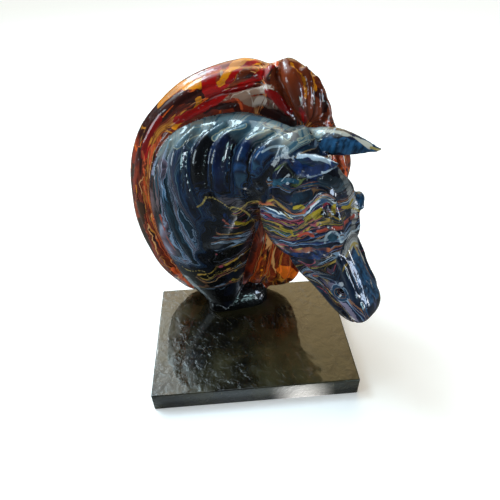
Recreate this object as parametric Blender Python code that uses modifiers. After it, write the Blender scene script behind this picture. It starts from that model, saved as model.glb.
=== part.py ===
"""Horse head bust with a windswept mane, cast in one piece, on a rectangular slab.

Metres, +Z up, front at -Y. The origin is the middle of the slab's underside.
The bust is modelled like clay: simple closed lumps are pushed into each other, fused into one skin,
smoothed, and then tooled with a few strokes.
"""

import math

import bmesh
import bpy
import numpy as np
from mathutils import Vector
from mathutils.bvhtree import BVHTree

# Slab
SLAB_WIDTH = 0.200
SLAB_DEPTH = 0.142
SLAB_THICK = 0.0225
SLAB_EDGE = 0.0012  # rounding of the slab's edges

# Bust
BUST_HEIGHT = 0.262  # from the slab to the top of the mane
SEAT_GAP = 0.0003  # between the slab and the foot of the bust
HEAD_TURN = 44.0  # degrees that the head turns from the slab's long side towards the front
HEAD_TILT = 22.0  # degrees between the head's length and the vertical
HEAD_LEAN = 4.0  # degrees that the head leans away from the viewer
SKIN_STEP = 0.0024  # size of the cubes that fuse the lumps
SMOOTH_ROUNDS = 4
FACET_TARGET = 9000  # triangles left on the bust

# All sizes below are in millimetres on a bust 262 mm tall, with heights from 22.8 mm under its foot.
UNIT = BUST_HEIGHT / 262.0
FOOT_LEVEL = 22.8
RING = 40  # points round a lofted section
ROUNDNESS = 0.85  # of the head's section: 1 is an oval, less is squarer
BROW_ROUNDNESS = 0.55  # the same on the side of the brow and nose

# Radii of lumps along the head's length, brow and side
CHEEK = (34, 31, 10)
EYE_BLOCK = (28, 15, 8)
EYE = (9, 6.5, 5.5)
FOREHEAD = (22, 11, 15)
NOSTRIL_WING = (10, 9, 5.5)
LIPS = (10, 12, 15)
CHIN = (10, 8.5, 15)
JOWL = (8, 10, 5)

# Tool marks: radius and depth of each stroke
EAR_HOLLOW = (7.0, 3.0)
NOSTRIL = (6.0, 6.5)
MOUTH = (3.6, 2.6)
PARTING = (4.2, 2.2)  # the grooves between locks

# Depth of the mane in front of and behind its middle plane
MANE_FRONT = 27.0
MANE_BACK = 30.0


def place(x, y, z):
    """A point of the bust, from station millimetres to metres on the slab."""
    return Vector((x * UNIT, y * UNIT, (z - FOOT_LEVEL) * UNIT + SLAB_THICK + SEAT_GAP))


def clear_scene():
    for item in list(bpy.data.objects):
        bpy.data.objects.remove(item, do_unlink=True)


# The neck bends sideways as it rises towards the head. "along" runs with the slab's long side at the
# foot and with the head's turn at the poll, "side" is away from the viewer.
TURN_START = -30.0
TURN_END = 60.0
BEND_X = -20.0
BEND_Y = 48.0


def turn_at(along):
    share = min(max((along - TURN_START) / (TURN_END - TURN_START), 0.0), 1.0)
    return math.radians(HEAD_TURN) * share * share * (3.0 - 2.0 * share)


def bent(along, z, side):
    """World millimetres of a point given along the bent middle plane."""
    steps = 24
    x, y = BEND_X, BEND_Y
    for i in range(steps):
        angle = turn_at(along * (i + 0.5) / steps)
        x += math.cos(angle) * along / steps
        y -= math.sin(angle) * along / steps
    angle = turn_at(along)
    return (x + side * math.sin(angle), y + side * math.cos(angle), z)


def spline(rows, count):
    """Catmull-Rom through rows of numbers, as count rows."""
    rows = np.array(rows, float)
    first = 2 * rows[0] - rows[1]
    last = 2 * rows[-1] - rows[-2]
    rows = np.vstack([first, rows, last])
    out = []
    for at in np.linspace(0.0, len(rows) - 3.000001, count):
        i = int(at)
        f = at - i
        a, b, c, d = rows[i : i + 4]
        bow = (2 * a - 5 * b + 4 * c - d) * f * f + (3 * b - a - 3 * c + d) * f**3
        out.append(0.5 * (2 * b + (c - a) * f + bow))
    return np.array(out)


def loft(name, rings):
    """A closed mesh through rings of world millimetres, with a point at each end."""
    bm = bmesh.new()
    rows = [[bm.verts.new(place(*p)) for p in ring] for ring in rings]
    count = len(rows[0])
    for low, high in zip(rows, rows[1:]):
        for i in range(count):
            j = (i + 1) % count
            bm.faces.new((low[i], low[j], high[j], high[i]))
    for row, flip in ((rows[0], True), (rows[-1], False)):
        middle = sum((v.co for v in row), Vector()) / count
        tip = bm.verts.new(middle)
        for i in range(count):
            j = (i + 1) % count
            bm.faces.new((tip, row[j], row[i]) if flip else (tip, row[i], row[j]))
    bmesh.ops.recalc_face_normals(bm, faces=bm.faces[:])
    return finish_lump(name, bm)


def finish_lump(name, bm):
    mesh = bpy.data.meshes.new(name)
    bm.to_mesh(mesh)
    bm.free()
    lump = bpy.data.objects.new(name, mesh)
    lumps.objects.link(lump)
    return lump


def ball(name, centre, axes, radii):
    """An ellipsoid with its radii along three axes, in world millimetres."""
    bm = bmesh.new()
    bmesh.ops.create_uvsphere(bm, u_segments=24, v_segments=14, radius=1.0)
    for v in bm.verts:
        p = np.array(centre, float)
        for axis, radius, part in zip(axes, radii, v.co):
            p = p + np.array(axis) * radius * part
        v.co = place(*p)
    bmesh.ops.recalc_face_normals(bm, faces=bm.faces[:])
    return finish_lump(name, bm)


def rope(name, path, radii, flat=1.0, face=None, count=30):
    """A tapered strand along a path in world millimetres, flattened by flat along the face direction."""
    centre = spline(path, count)
    radius = spline([[r] for r in radii], count)[:, 0]
    rings = []
    up = np.array(face if face is not None else (0.0, -1.0, 0.0), float)
    for i, (c, r) in enumerate(zip(centre, radius)):
        run = centre[min(i + 1, count - 1)] - centre[max(i - 1, 0)]
        run /= np.linalg.norm(run)
        across = np.cross(run, up)
        across /= np.linalg.norm(across)
        out = np.cross(across, run)
        r = max(r, 0.4)
        rings.append(
            [
                c + across * r * math.cos(t) + out * r * flat * math.sin(t)
                for t in np.linspace(0, 2 * math.pi, 13)[:-1]
            ]
        )
    return loft(name, rings)


# Neck: crest side (along, z), throat side (along, z), half thickness
NECK = (
    (-26, 20, 10, 20, 15),
    (-33, 36, 12, 39, 20),
    (-52.7, 72, 20.5, 84, 25),
    (-64.6, 114, 28.4, 118, 29),
    (-68.6, 163, 36, 140, 31),
    (-61.4, 199, 43, 158, 32),
    (-41, 229, 52, 168, 31),
    (-14, 240, 62, 176, 29),
    (20.7, 245, 74, 184, 26),
    (53.9, 244, 86, 196, 23),
    (78, 240, 94, 212, 18),
)


def neck_rings():
    rings = []
    for oa, oz, ia, iz, w in spline(NECK, 44):
        ring = []
        for t in np.linspace(0, 2 * math.pi, RING + 1)[:-1]:
            c, s = math.cos(t), math.sin(t)
            along = (oa + ia) / 2 + (ia - oa) / 2 * c
            z = (oz + iz) / 2 + (iz - oz) / 2 * c
            side = w * s * (1.0 + 0.18 * c)
            ring.append(bent(along, z, side))
        rings.append(ring)
    return rings


# Head frame at the poll: length towards the lips, brow out of the face, side away from the viewer
POLL = np.array(bent(81.0, 237.0, 3.5))
_turn, _tilt, _lean = (math.radians(v) for v in (HEAD_TURN, HEAD_TILT, HEAD_LEAN))
_ahead = np.array((math.cos(_turn), -math.sin(_turn), 0.0))
_flat_side = np.array((math.sin(_turn), math.cos(_turn), 0.0))
_straight = _ahead * math.sin(_tilt) - np.array((0, 0, 1.0)) * math.cos(_tilt)
BROW = _ahead * math.cos(_tilt) + np.array((0, 0, 1.0)) * math.sin(_tilt)
SIDE = math.cos(_lean) * _flat_side + math.sin(_lean) * _straight
LENGTH = math.cos(_lean) * _straight - math.sin(_lean) * _flat_side
HEAD_AXES = (LENGTH, BROW, SIDE)


def on_head(t, d, side):
    return POLL + t * LENGTH + d * BROW + side * SIDE


# Head: distance from the poll, brow line, jaw line, half width, how much wider on the brow side
HEAD = (
    (-9, 4, -20, 14, 0),
    (0, 9, -34, 21, 0),
    (18, 15.5, -46, 25, 0),
    (27, 22, -51, 26, 0.01),
    (36, 26, -55, 27, 0.02),
    (52, 26.5, -59, 27.5, 0),
    (68, 25, -58, 26, -0.04),
    (84, 24, -52, 23, -0.08),
    (94, 24, -46, 20, -0.1),
    (103, 25, -38.5, 17.5, -0.12),
    (112, 27, -29.5, 16.5, -0.12),
    (122, 29.5, -19, 16.5, -0.1),
    (132, 32, -9, 18.5, -0.02),
    (142, 34, -5, 19.5, 0),
    (150, 32.5, -1, 18.5, 0.03),
    (157, 28.5, 6, 14.5, 0.05),
    (161, 23, 12, 8.5, 0.05),
)


# The far half of the forehead falls away between the ears, so that the mane shows behind it: how steeply,
# and where along the head that fades out
FAR_SLOPE = 0.9
SLOPE_FADE = (24.0, 44.0)


def head_rings():
    rings = []
    for at, top, low, w, k in spline(HEAD, 46):
        slope = FAR_SLOPE * min(max((SLOPE_FADE[1] - at) / (SLOPE_FADE[1] - SLOPE_FADE[0]), 0.0), 1.0)
        ring = []
        for a in np.linspace(0, 2 * math.pi, RING + 1)[:-1]:
            c, s = math.cos(a), math.sin(a)
            s = math.copysign(abs(s) ** (BROW_ROUNDNESS if c > 0 else ROUNDNESS), s)
            c = math.copysign(abs(c) ** ROUNDNESS, c)
            side = w * s * (1 + k * c)
            brow = (top + low) / 2 + (top - low) / 2 * c - slope * max(side, 0.0) * max(c, 0.0)
            ring.append(on_head(at, brow, side))
        rings.append(ring)
    return rings


# Ears: base and tip in head coordinates, the way the hollow faces, and share of the full width
EARS = (
    ((19, -3, -15), (14.5, 46, -29), -SIDE * 0.9 + LENGTH * 0.25, 1.0),
    ((3, 2, 10), (22.3, 51.5, 25.7), SIDE * 0.8 + LENGTH * 0.5, 1.0),
)
EAR_WIDTHS = (7.5, 10, 11, 10, 7.5, 4.2, 0.6)


def ear(name, base, tip, mouth, wide):
    """A pointed leaf from base to tip in head coordinates; mouth is the way its hollow faces."""
    foot, top = on_head(*base), on_head(*tip)
    run = top - foot
    size = np.linalg.norm(run)
    run /= size
    across = np.cross(run, mouth)
    across /= np.linalg.norm(across)
    out = np.cross(across, run)
    rings = []
    widths = spline([[w * wide] for w in EAR_WIDTHS], 16)[:, 0]
    for f, half in zip(np.linspace(-0.15, 1.0, 16), widths):
        centre = foot + run * size * f - out * 2.0 * math.sin(math.pi * max(f, 0))
        rings.append(
            [
                centre + across * half * math.cos(a) + out * half * 0.55 * math.sin(a)
                for a in np.linspace(0, 2 * math.pi, 17)[:-1]
            ]
        )
    return loft(name, rings)


# Outline of the mane seen from the front: x, z
MANE = (
    (6, 282), (17, 280.5), (27, 277.5), (35.5, 280.5), (43, 283), (51.5, 279), (62, 271.5), (70, 261.5),
    (74, 250.5), (77, 241), (83.5, 226), (96.5, 205), (98.5, 187), (93, 164), (79, 143), (68, 120), (63, 90),
    (58, 62), (49, 39), (27, 28), (-8, 26), (-38, 24), (-65, 28), (-84, 48), (-96.5, 69),
    (-103.5, 92), (-108.5, 115), (-110.5, 139), (-109, 163), (-106, 186), (-99, 209),
    (-87, 231), (-67.5, 251), (-50, 264.5), (-32, 273), (-12, 279),
)
MANE_HUB = (-8.0, 158.0)


def mane_plane(x):
    """Depth of the mane's middle: its right side comes forward with the turn of the neck."""
    share = min(max((x - 5.0) / 90.0, 0.0), 1.0)
    return 68.0 - 26.0 * share * share * (3 - 2 * share)


def mane_core():
    closed = list(MANE) + [MANE[0]]
    outline = spline(closed, 73)[:-1]
    rings = []
    for v in np.linspace(-0.5, 0.5, 19)[1:-1]:
        wide, deep = math.cos(v * math.pi), math.sin(v * math.pi)
        wide = wide**0.8
        ring = []
        for x, z in outline:
            px = MANE_HUB[0] + (x - MANE_HUB[0]) * wide
            pz = MANE_HUB[1] + (z - MANE_HUB[1]) * wide
            depth = MANE_FRONT if deep < 0 else MANE_BACK
            ring.append((px, mane_plane(px) + depth * deep, pz))
        rings.append(ring)
    return loft("mane_core", rings)


def skin_of(lump):
    """A tree of a lump's faces, to lay strands on it."""
    points = [v.co.copy() for v in lump.data.vertices]
    return BVHTree.FromPolygons(points, [p.vertices[:] for p in lump.data.polygons])


def laid(tree, points, away, lift):
    """Points given as x, z, moved along y onto the skin and lifted off it, in station millimetres."""
    out = []
    for x, z in points:
        ray = Vector((0.0, away, 0.0))
        start = place(x, 0.0, z) - ray * 0.5
        hit = tree.ray_cast(start, ray)[0]
        if hit is not None:
            out.append(np.array((x, hit.y / UNIT - away * lift, z)))
    return out


# Locks on the near side of the neck: x, z along each, and the radii
NECK_LOCKS = (
    (((-66, 226), (-76, 203), (-77, 172), (-71, 134), (-58, 92)), (3, 5.5, 6, 5, 1.5)),
    (((-59, 226), (-68, 202), (-67, 169), (-61, 133), (-50, 95)), (3, 5.5, 6.5, 5.5, 1.5)),
    (((-50, 226), (-60, 199), (-58, 168), (-52, 142), (-42, 117)), (3, 6, 6.5, 6, 1.5)),
    (((-36, 236), (-52, 219), (-56, 198), (-50, 172), (-38, 148)), (4, 8, 9, 7, 1.5)),
    (((-12, 240), (-29, 226), (-36, 208), (-35, 184), (-30, 160)), (4, 9, 10, 8, 2)),
    (((6, 241), (-12, 230), (-20, 213), (-22, 192), (-17, 172)), (4, 8, 9.5, 7.5, 2)),
    (((24, 241), (7, 231), (0, 216), (-2, 200), (-1, 184)), (4, 8, 9, 7, 2)),
    (((36, 240), (22, 233), (13, 222), (10, 208), (12, 194)), (3, 6.5, 7.5, 6, 2)),
)
# Locks on the front of the mane: three long ones round the rim, a fan over the poll, two down the right
# side and a fan that spreads to the foot
MANE_LOCKS = (
    (
        (
            (22, 272), (4, 271), (-12, 268), (-30, 262), (-48, 252), (-64, 240), (-79, 221),
            (-90, 198), (-96, 173), (-97, 145), (-92, 105), (-78, 64),
        ),
        (5, 9.5, 9, 7, 5),
    ),
    (
        (
            (28, 262), (13, 260), (0, 257), (-14, 255), (-27, 250), (-40, 244), (-53, 235),
            (-68, 220), (-80, 200), (-86, 172), (-86, 138), (-80, 100), (-64, 60),
        ),
        (4, 6.5, 5.5, 5, 3),
    ),
    (((-62, 226), (-73, 208), (-78, 184), (-78, 150), (-72, 112), (-56, 66)), (2, 4, 4.5, 4.5, 3)),
    (((30, 277), (26, 268), (28, 259), (35, 249), (45, 240)), (5, 7.5, 7.5, 6, 3)),
    (((38, 281), (42, 271), (46, 260), (49, 250), (52, 241)), (5, 8.5, 8, 6, 3)),
    (((52, 277), (56, 268), (57, 258), (57, 248), (57, 240)), (4, 5, 4.5, 4, 3)),
    (((61, 271), (63, 264), (64, 256), (64, 248), (63, 241)), (3, 4.5, 4.5, 4, 3)),
    (((65, 259), (69, 252), (72, 245), (73, 237)), (3, 4, 4, 3)),
    (((64, 240), (77, 226), (84, 208), (88, 188), (84, 160)), (3, 5, 5.5, 5, 3)),
    (((62, 236), (70, 218), (74, 196), (72, 160), (60, 110)), (3, 5, 6, 6, 3)),
    (((20, 140), (14, 110), (2, 70), (-10, 38)), (4, 6, 7, 5)),
    (((26, 140), (22, 108), (14, 68), (6, 32)), (4, 6, 7.5, 4)),
    (((34, 140), (32, 104), (28, 66), (22, 34)), (4, 6, 7.5, 4)),
    (((44, 136), (42, 100), (40, 66), (37, 40)), (4, 6, 7, 3)),
    (((56, 130), (54, 98), (52, 68), (48, 48)), (4, 6, 6, 3)),
)
# Partings between the locks on the mane, and between those on the neck: x, z along each
MANE_PARTINGS = (
    (
        (30, 278), (23, 273), (19, 267), (9, 264), (-9, 261), (-26, 256), (-43, 245), (-64, 231),
        (-80, 209), (-88, 186), (-91, 150),
    ),
    ((39, 241), (28, 245), (18, 249), (-2, 251), (-15, 251), (-29, 247), (-42, 240), (-58, 230), (-72, 212)),
    ((31, 278), (32, 271), (35, 264), (38, 257), (42, 247), (48, 238)),
    ((43, 279), (48, 274), (52, 267), (53, 256), (54, 247), (56, 239)),
    ((57, 275), (59, 268), (60, 258), (60, 249), (59, 241)),
    ((63, 266), (66, 257), (68, 248), (68, 242)),
    ((23, 140), (18, 108), (8, 70), (-2, 36)),
    ((30, 140), (27, 106), (21, 68), (14, 34)),
    ((39, 138), (37, 102), (34, 68), (30, 36)),
    ((50, 132), (48, 98), (46, 68), (43, 46)),
)
NECK_PARTINGS = (
    ((-24, 240), (-40, 224), (-45, 205), (-43, 180), (-36, 158)),
    ((-3, 241), (-20, 228), (-28, 211), (-29, 190), (-24, 168)),
    ((15, 241), (-3, 231), (-10, 215), (-12, 196), (-9, 178)),
)
# How far each lock on the back swings out to the side
BACK_BULGES = (-108, -98, -88, -74, -60, -46, -32, -18, -4, 10, 24, 40)

# Lines on each half of the face in head coordinates. The near eye and brow are then raised, and the far
# ones lowered and tucked in, by the lengths below.
BROW_LINE = ((62, 4, 25), (54, 10, 27.5), (48, 18, 27), (44.5, 23, 24.5), (46, 26.5, 21.5), (54, 27.5, 17))
LID_LINE = ((64, 8, 26), (65, 15, 26), (61, 23, 20))
FACE_EDGE = ((46, 23.5, 13.5), (58, 24.5, 13), (70, 23.5, 12.5), (80, 22, 13), (88, 19, 15))
NOSE_LINE = ((90, 17, 16), (103, 20, 14), (112, 21, 13.5), (121, 23, 13.5), (132, 25.5, 14), (146, 26, 11))
MOUTH_LINE = (
    (104, -22, 18), (112, -12, 17.5), (120, -1, 17.3), (127, 4.5, 17), (134, 8, 17.5), (141, 12.5, 19.5),
    (150, 17, 18), (158, 19, 10), (161, 20, 0),
)
LIP_LINE = (
    (100, -34, 13), (110, -25, 14), (120, -14, 14.5), (130, -5, 15), (139, 3, 16), (146, 9, 15),
    (152, 13, 9),
)
EAR_FOLD = ((38, -22, -27), (24, -16, -26), (15, -8, -23), (12, 2, -19))
NEAR_RISE = 4.0
FAR_EYE_DROP = 6.0
FAR_BROW_DROP = 11.0
FAR_TUCK = 2.5

# The pad under the bust: middle, half size, and height with its share of the full size
FOOT_MIDDLE = (-11.0, 59.0)
FOOT_HALF = (35.0, 27.0)
FOOT_STATIONS = ((18, 0.99), (26, 1.0), (34, 0.95), (41, 0.82), (46, 0.6))


def foot_pad():
    """The pad the bust stands on: height and share of the full size, with rounded corners."""
    rings = []
    for z, share in FOOT_STATIONS:
        ring = []
        for a in np.linspace(0, 2 * math.pi, RING + 1)[:-1]:
            c, s = math.cos(a), math.sin(a)
            c = math.copysign(abs(c) ** 0.5, c)
            s = math.copysign(abs(s) ** 0.5, s)
            x = FOOT_MIDDLE[0] + FOOT_HALF[0] * share * c
            ring.append((x, FOOT_MIDDLE[1] + FOOT_HALF[1] * share * s + 0.15 * (x - FOOT_MIDDLE[0]), z))
        rings.append(ring)
    loft("foot_pad", rings)


def half_line(line, side, low=0.0, tuck=0.0):
    """A line given on one half of the head, moved to the half that side says."""
    return [on_head(t + low, d, side * (w - tuck)) for t, d, w in line]


def build_head():
    loft("head", head_rings())
    for side in (-1, 1):
        eye_low = FAR_EYE_DROP if side > 0 else -NEAR_RISE
        brow_low = FAR_BROW_DROP if side > 0 else -NEAR_RISE
        tuck = FAR_TUCK if side > 0 else 0.0
        ball("cheek", on_head(62, -20, side * 19.5), HEAD_AXES, CHEEK)
        ball("eye_block", on_head(66, 6, side * 18.5), HEAD_AXES, EYE_BLOCK)
        ball("eye", on_head(56 + eye_low, 17, side * (25 - tuck)), HEAD_AXES, EYE)
        rope("brow", half_line(BROW_LINE, side, brow_low, tuck), (2.5, 3.2, 3.5, 3.4, 2.8), face=BROW)
        rope("lid", half_line(LID_LINE, side, eye_low, tuck), (1.8, 2.3, 2), face=BROW)
        rope("face_edge", half_line(FACE_EDGE, side), (1.5, 2.8, 3, 2.8, 1.5))
        rope("nose_edge", half_line(NOSE_LINE, side), (2, 3.4, 3.6, 3.8, 4, 3))
        rope("lip", half_line(LIP_LINE, side), (2.5, 3.5, 3.5, 3.5, 3.5, 2.5))
        ball("nostril_wing", on_head(127, 14, side * 12.5), HEAD_AXES, NOSTRIL_WING)
    ball("chin", on_head(146, 4, 0), HEAD_AXES, CHIN)
    ball("lips", on_head(151, 19, 0), HEAD_AXES, LIPS)
    ball("forehead", on_head(41, 16, -3), HEAD_AXES, FOREHEAD)
    ball("jowl", on_head(30, -7, -24), HEAD_AXES, JOWL)
    rope("ear_fold", [on_head(*p) for p in EAR_FOLD], (2.5, 4, 4, 3), face=BROW)
    for base, tip, mouth, wide in EARS:
        ear("ear", base, tip, mouth, wide)


def build_hair(on_neck, on_core):
    for path, radii in NECK_LOCKS:
        rope("neck_lock", laid(on_neck, path, 1, -0.5), radii, flat=0.7)
    for path, radii in MANE_LOCKS:
        rope("mane_lock", laid(on_core, path, 1, 0.0), radii, flat=0.85)
    for bulge in BACK_BULGES:
        path = []
        for f in np.linspace(0.04, 0.96, 9):
            path.append((46 - 46 * f + bulge * math.sin(math.pi * f) ** 0.8, 262 - 226 * f))
        rope("back_lock", laid(on_core, path, -1, -2.5), (4, 7, 8, 7, 4), flat=0.6, face=(0, 1, 0))


def joined(objects, name):
    bm = bmesh.new()
    for item in objects:
        bm.from_mesh(item.data)
    mesh = bpy.data.meshes.new(name)
    bm.to_mesh(mesh)
    bm.free()
    whole = bpy.data.objects.new(name, mesh)
    horse_bust_on_slab.objects.link(whole)
    return whole


def press(points, normals, path, radius, depth, away=None):
    """Pushes the skin in along a path by depth, fading out at radius; both in millimetres."""
    size = sum(np.linalg.norm(np.subtract(a, b)) for a, b in zip(path, path[1:]))
    track = spline(path, int(size) + 2) if len(path) > 1 else np.array(path, float)
    track = np.array([place(*p) for p in track])
    gap = np.linalg.norm(points[:, None, :] - track[None, :, :], axis=2).min(axis=1)
    share = np.clip(1.0 - (gap / (radius * UNIT)) ** 2, 0.0, 1.0) ** 2
    way = -normals if away is None else np.broadcast_to(np.array(away, float), points.shape)
    facing = np.ones(len(points)) if away is None else ((normals @ -np.array(away)) > -0.1)
    points += way * (share * depth * UNIT * facing)[:, None]


def tool_marks(mesh, on_neck, on_core):
    """The strokes that a hand tool leaves: hollow ears, nostrils, mouth and the partings of the hair."""
    count = len(mesh.vertices)
    points = np.empty(count * 3)
    normals = np.empty(count * 3)
    mesh.vertices.foreach_get("co", points)
    mesh.vertices.foreach_get("normal", normals)
    points = points.reshape(-1, 3)
    normals = normals.reshape(-1, 3)
    for base, tip, mouth, _ in EARS:
        mouth = np.array(mouth) / np.linalg.norm(mouth)
        foot, top = on_head(*base), on_head(*tip)
        path = [foot + (top - foot) * f + mouth * 5.0 * (1 - f) for f in (0.12, 0.3, 0.5, 0.72)]
        press(points, normals, path, *EAR_HOLLOW, away=-mouth)
    for side in (-1, 1):
        press(points, normals, [on_head(127, 13.5, side * 18)], *NOSTRIL, away=-side * SIDE)
        press(points, normals, half_line(MOUTH_LINE, side), *MOUTH)
    for tree, paths in ((on_neck, NECK_PARTINGS), (on_core, MANE_PARTINGS)):
        for path in paths:
            press(points, normals, laid(tree, path, 1, 2.0), *PARTING)
    mesh.vertices.foreach_set("co", points.ravel())
    mesh.update()


def settle(whole):
    """Applies the modifiers on an object."""
    graph = bpy.context.evaluated_depsgraph_get()
    mesh = bpy.data.meshes.new_from_object(whole.evaluated_get(graph))
    whole.modifiers.clear()
    whole.data = mesh


def block(name, size, centre, collection):
    bm = bmesh.new()
    bmesh.ops.create_cube(bm, size=1.0)
    for v in bm.verts:
        v.co = Vector([v.co[i] * size[i] + centre[i] for i in range(3)])
    mesh = bpy.data.meshes.new(name)
    bm.to_mesh(mesh)
    bm.free()
    item = bpy.data.objects.new(name, mesh)
    collection.objects.link(item)
    return item


def paint(item, name, colour, roughness):
    material = bpy.data.materials.new(name)
    material.use_nodes = True
    shader = material.node_tree.nodes["Principled BSDF"]
    shader.inputs["Base Color"].default_value = (*colour, 1.0)
    shader.inputs["Roughness"].default_value = roughness
    item.data.materials.clear()
    item.data.materials.append(material)


clear_scene()
horse_bust_on_slab = bpy.data.collections.new("horse_bust_on_slab")
cutters = bpy.data.collections.new("cutters")
lumps = bpy.data.collections.new("lumps")
for group in (horse_bust_on_slab, cutters, lumps):
    bpy.context.scene.collection.children.link(group)

# The bust: lumps, one fused skin, softened, tooled, then brought down to large facets
neck_skin = skin_of(loft("neck", neck_rings()))
mane_skin = skin_of(mane_core())
build_head()
foot_pad()
build_hair(neck_skin, mane_skin)
bust = joined(list(lumps.objects), "horse_bust")
for lump in list(lumps.objects):
    bpy.data.objects.remove(lump, do_unlink=True)
bpy.data.collections.remove(lumps)
fuse = bust.modifiers.new("fuse", "REMESH")
fuse.mode = "VOXEL"
fuse.voxel_size = SKIN_STEP
soften = bust.modifiers.new("soften", "SMOOTH")
soften.factor = 0.5
soften.iterations = SMOOTH_ROUNDS
settle(bust)
tool_marks(bust.data, neck_skin, mane_skin)
facets = bust.modifiers.new("facets", "DECIMATE")
facets.ratio = FACET_TARGET / (2.0 * len(bust.data.polygons))
facets.use_collapse_triangulate = True
settle(bust)

# A flat seat, a small gap above the slab
seat_top = SLAB_THICK + SEAT_GAP
seat_cutter = block("seat_cutter", (0.4, 0.4, 0.1), (0.0, 0.0, seat_top - 0.05), cutters)
seat_cutter.hide_render = True
seat_cutter.display_type = "WIRE"
seat = bust.modifiers.new("seat", "BOOLEAN")
seat.operation = "DIFFERENCE"
seat.solver = "EXACT"
seat.object = seat_cutter

base_slab = block(
    "base_slab", (SLAB_WIDTH, SLAB_DEPTH, SLAB_THICK), (0.0, 0.0, SLAB_THICK / 2), horse_bust_on_slab
)
edge = base_slab.modifiers.new("edge", "BEVEL")
edge.width = SLAB_EDGE
edge.segments = 2
edge.limit_method = "ANGLE"

paint(bust, "marbled_resin", (0.10, 0.16, 0.28), 0.12)
paint(base_slab, "black_lacquer", (0.015, 0.015, 0.017), 0.15)
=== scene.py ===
# %% [markdown]
# # A marbled horse head on a lacquered slab
# The real object is a horse's head with a windswept mane, cast in resin in one piece and glued to a
# small rectangular base. Liquid enamels in two families of colour were poured over it, blue for the
# head and neck and red-brown for the mane. They ran down and drew each other out into bands, and a
# thick clear coat was brushed over everything. This lesson shapes the casting finely, works out which
# way the paint ran on it, and pours the colours along those ways.

import math

import bmesh
import bpy
import numpy as np
from mathutils import Matrix, Vector, noise
from mathutils.bvhtree import BVHTree
from mathutils.kdtree import KDTree


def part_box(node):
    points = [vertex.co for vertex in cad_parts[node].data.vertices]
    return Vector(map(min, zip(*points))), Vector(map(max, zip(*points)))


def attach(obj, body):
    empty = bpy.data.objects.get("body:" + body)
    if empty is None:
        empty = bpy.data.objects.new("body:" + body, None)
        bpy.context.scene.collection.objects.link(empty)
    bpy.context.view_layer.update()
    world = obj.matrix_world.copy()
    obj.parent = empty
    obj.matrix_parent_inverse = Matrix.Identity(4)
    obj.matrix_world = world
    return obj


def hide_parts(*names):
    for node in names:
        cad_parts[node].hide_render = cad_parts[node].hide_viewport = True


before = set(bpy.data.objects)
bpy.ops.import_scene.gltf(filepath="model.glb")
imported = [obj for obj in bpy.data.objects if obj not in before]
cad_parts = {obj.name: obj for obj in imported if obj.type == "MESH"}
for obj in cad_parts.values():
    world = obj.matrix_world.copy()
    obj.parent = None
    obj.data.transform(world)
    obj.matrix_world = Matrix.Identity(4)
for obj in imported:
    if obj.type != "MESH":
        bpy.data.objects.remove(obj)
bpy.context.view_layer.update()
bust_low, bust_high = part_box("horse_bust")
slab_low, slab_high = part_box("base_slab")
print("bust", [round(v, 4) for v in bust_low], [round(v, 4) for v in bust_high])
print("slab", [round(v, 4) for v in slab_low], [round(v, 4) for v in slab_high])

# %% [markdown]
# ## The picture's camera
# The camera stands close to the slab and looks down on it steeply. It could be moved by eye until the
# view fits. Here its place and lens were worked out from the four top corners of the slab, which gives
# the same view with fewer guesses. It comes first, because the colours are later laid on the casting
# along lines of sight, the way a painter would point at them.

# %% Camera
PICTURE_SIDE = 500  # pixels
CAMERA_PLACE = (-0.0146, -0.3034, 0.3799)
CAMERA_PITCH = 39.0  # degrees below the horizon
CAMERA_YAW = 3.1  # degrees towards the right
CAMERA_ROLL = 1.9
LENS_MM = 30.77
SENSOR_MM = 36.0


def shown(name, data):
    """Puts a mesh, lamp or camera in the scene as an object."""
    made = bpy.data.objects.new(name, data)
    bpy.context.scene.collection.objects.link(made)
    return made


camera_data = bpy.data.cameras.new("picture_camera")
camera_data.lens = LENS_MM
camera_data.sensor_width = SENSOR_MM
camera_data.clip_start = 0.01
camera_data.clip_end = 20.0
camera = shown("picture_camera", camera_data)
bpy.context.scene.camera = camera
camera.matrix_world = (
    Matrix.Translation(CAMERA_PLACE)
    @ Matrix.Rotation(math.radians(-CAMERA_YAW), 4, "Z")
    @ Matrix.Rotation(math.radians(90.0 - CAMERA_PITCH), 4, "X")
    @ Matrix.Rotation(math.radians(-CAMERA_ROLL), 4, "Z")
)
camera_turn = camera.matrix_world.to_3x3()
PIXELS_AHEAD = LENS_MM / SENSOR_MM * PICTURE_SIDE


def sight(px, py):
    """The direction from the camera through a pixel of the 500 x 500 picture."""
    half = PICTURE_SIDE / 2
    return (camera_turn @ Vector((px - half, half - py, -PIXELS_AHEAD))).normalized()


print("the camera looks along", [round(v, 3) for v in sight(250, 250)])

# %% [markdown]
# ## Clay lumps
# A sculptor starts with simple lumps of clay and presses them into each other. Here each lump is a
# closed mesh: rings joined into a skin for the neck and head, stretched balls for the muscles, and
# tapered ropes for locks of hair. Blender's sculpt brushes could shape them too, but lumps made from
# numbers come out the same in each run, and one number can be changed alone. All sizes are in
# millimetres on a bust 262 mm tall, and one function puts them on the slab in metres.

# %% Where things are
FOOT_LEVEL = 22.8  # the height, in those millimetres, where the foot stands on the slab
SLAB_WIDE = 200.0  # in the same millimetres, and this gives the size of one of them in metres
unit = (slab_high[0] - slab_low[0]) / SLAB_WIDE
seat = bust_low[2]
HEAD_TURN = 44.0  # degrees that the head turns towards the viewer
HEAD_TILT = 22.0
HEAD_LEAN = 4.0
TURN_START, TURN_END = -30.0, 60.0
BEND_PLACE, BEND_STEPS = (-20.0, 48.0), 24
POLL = (81.0, 237.0, 3.5)  # along the neck, up, and away from the viewer


def place(x, y, z):
    """A point in the model's millimetres, as metres on the slab."""
    return Vector((x * unit, y * unit, (z - FOOT_LEVEL) * unit + seat))


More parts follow.
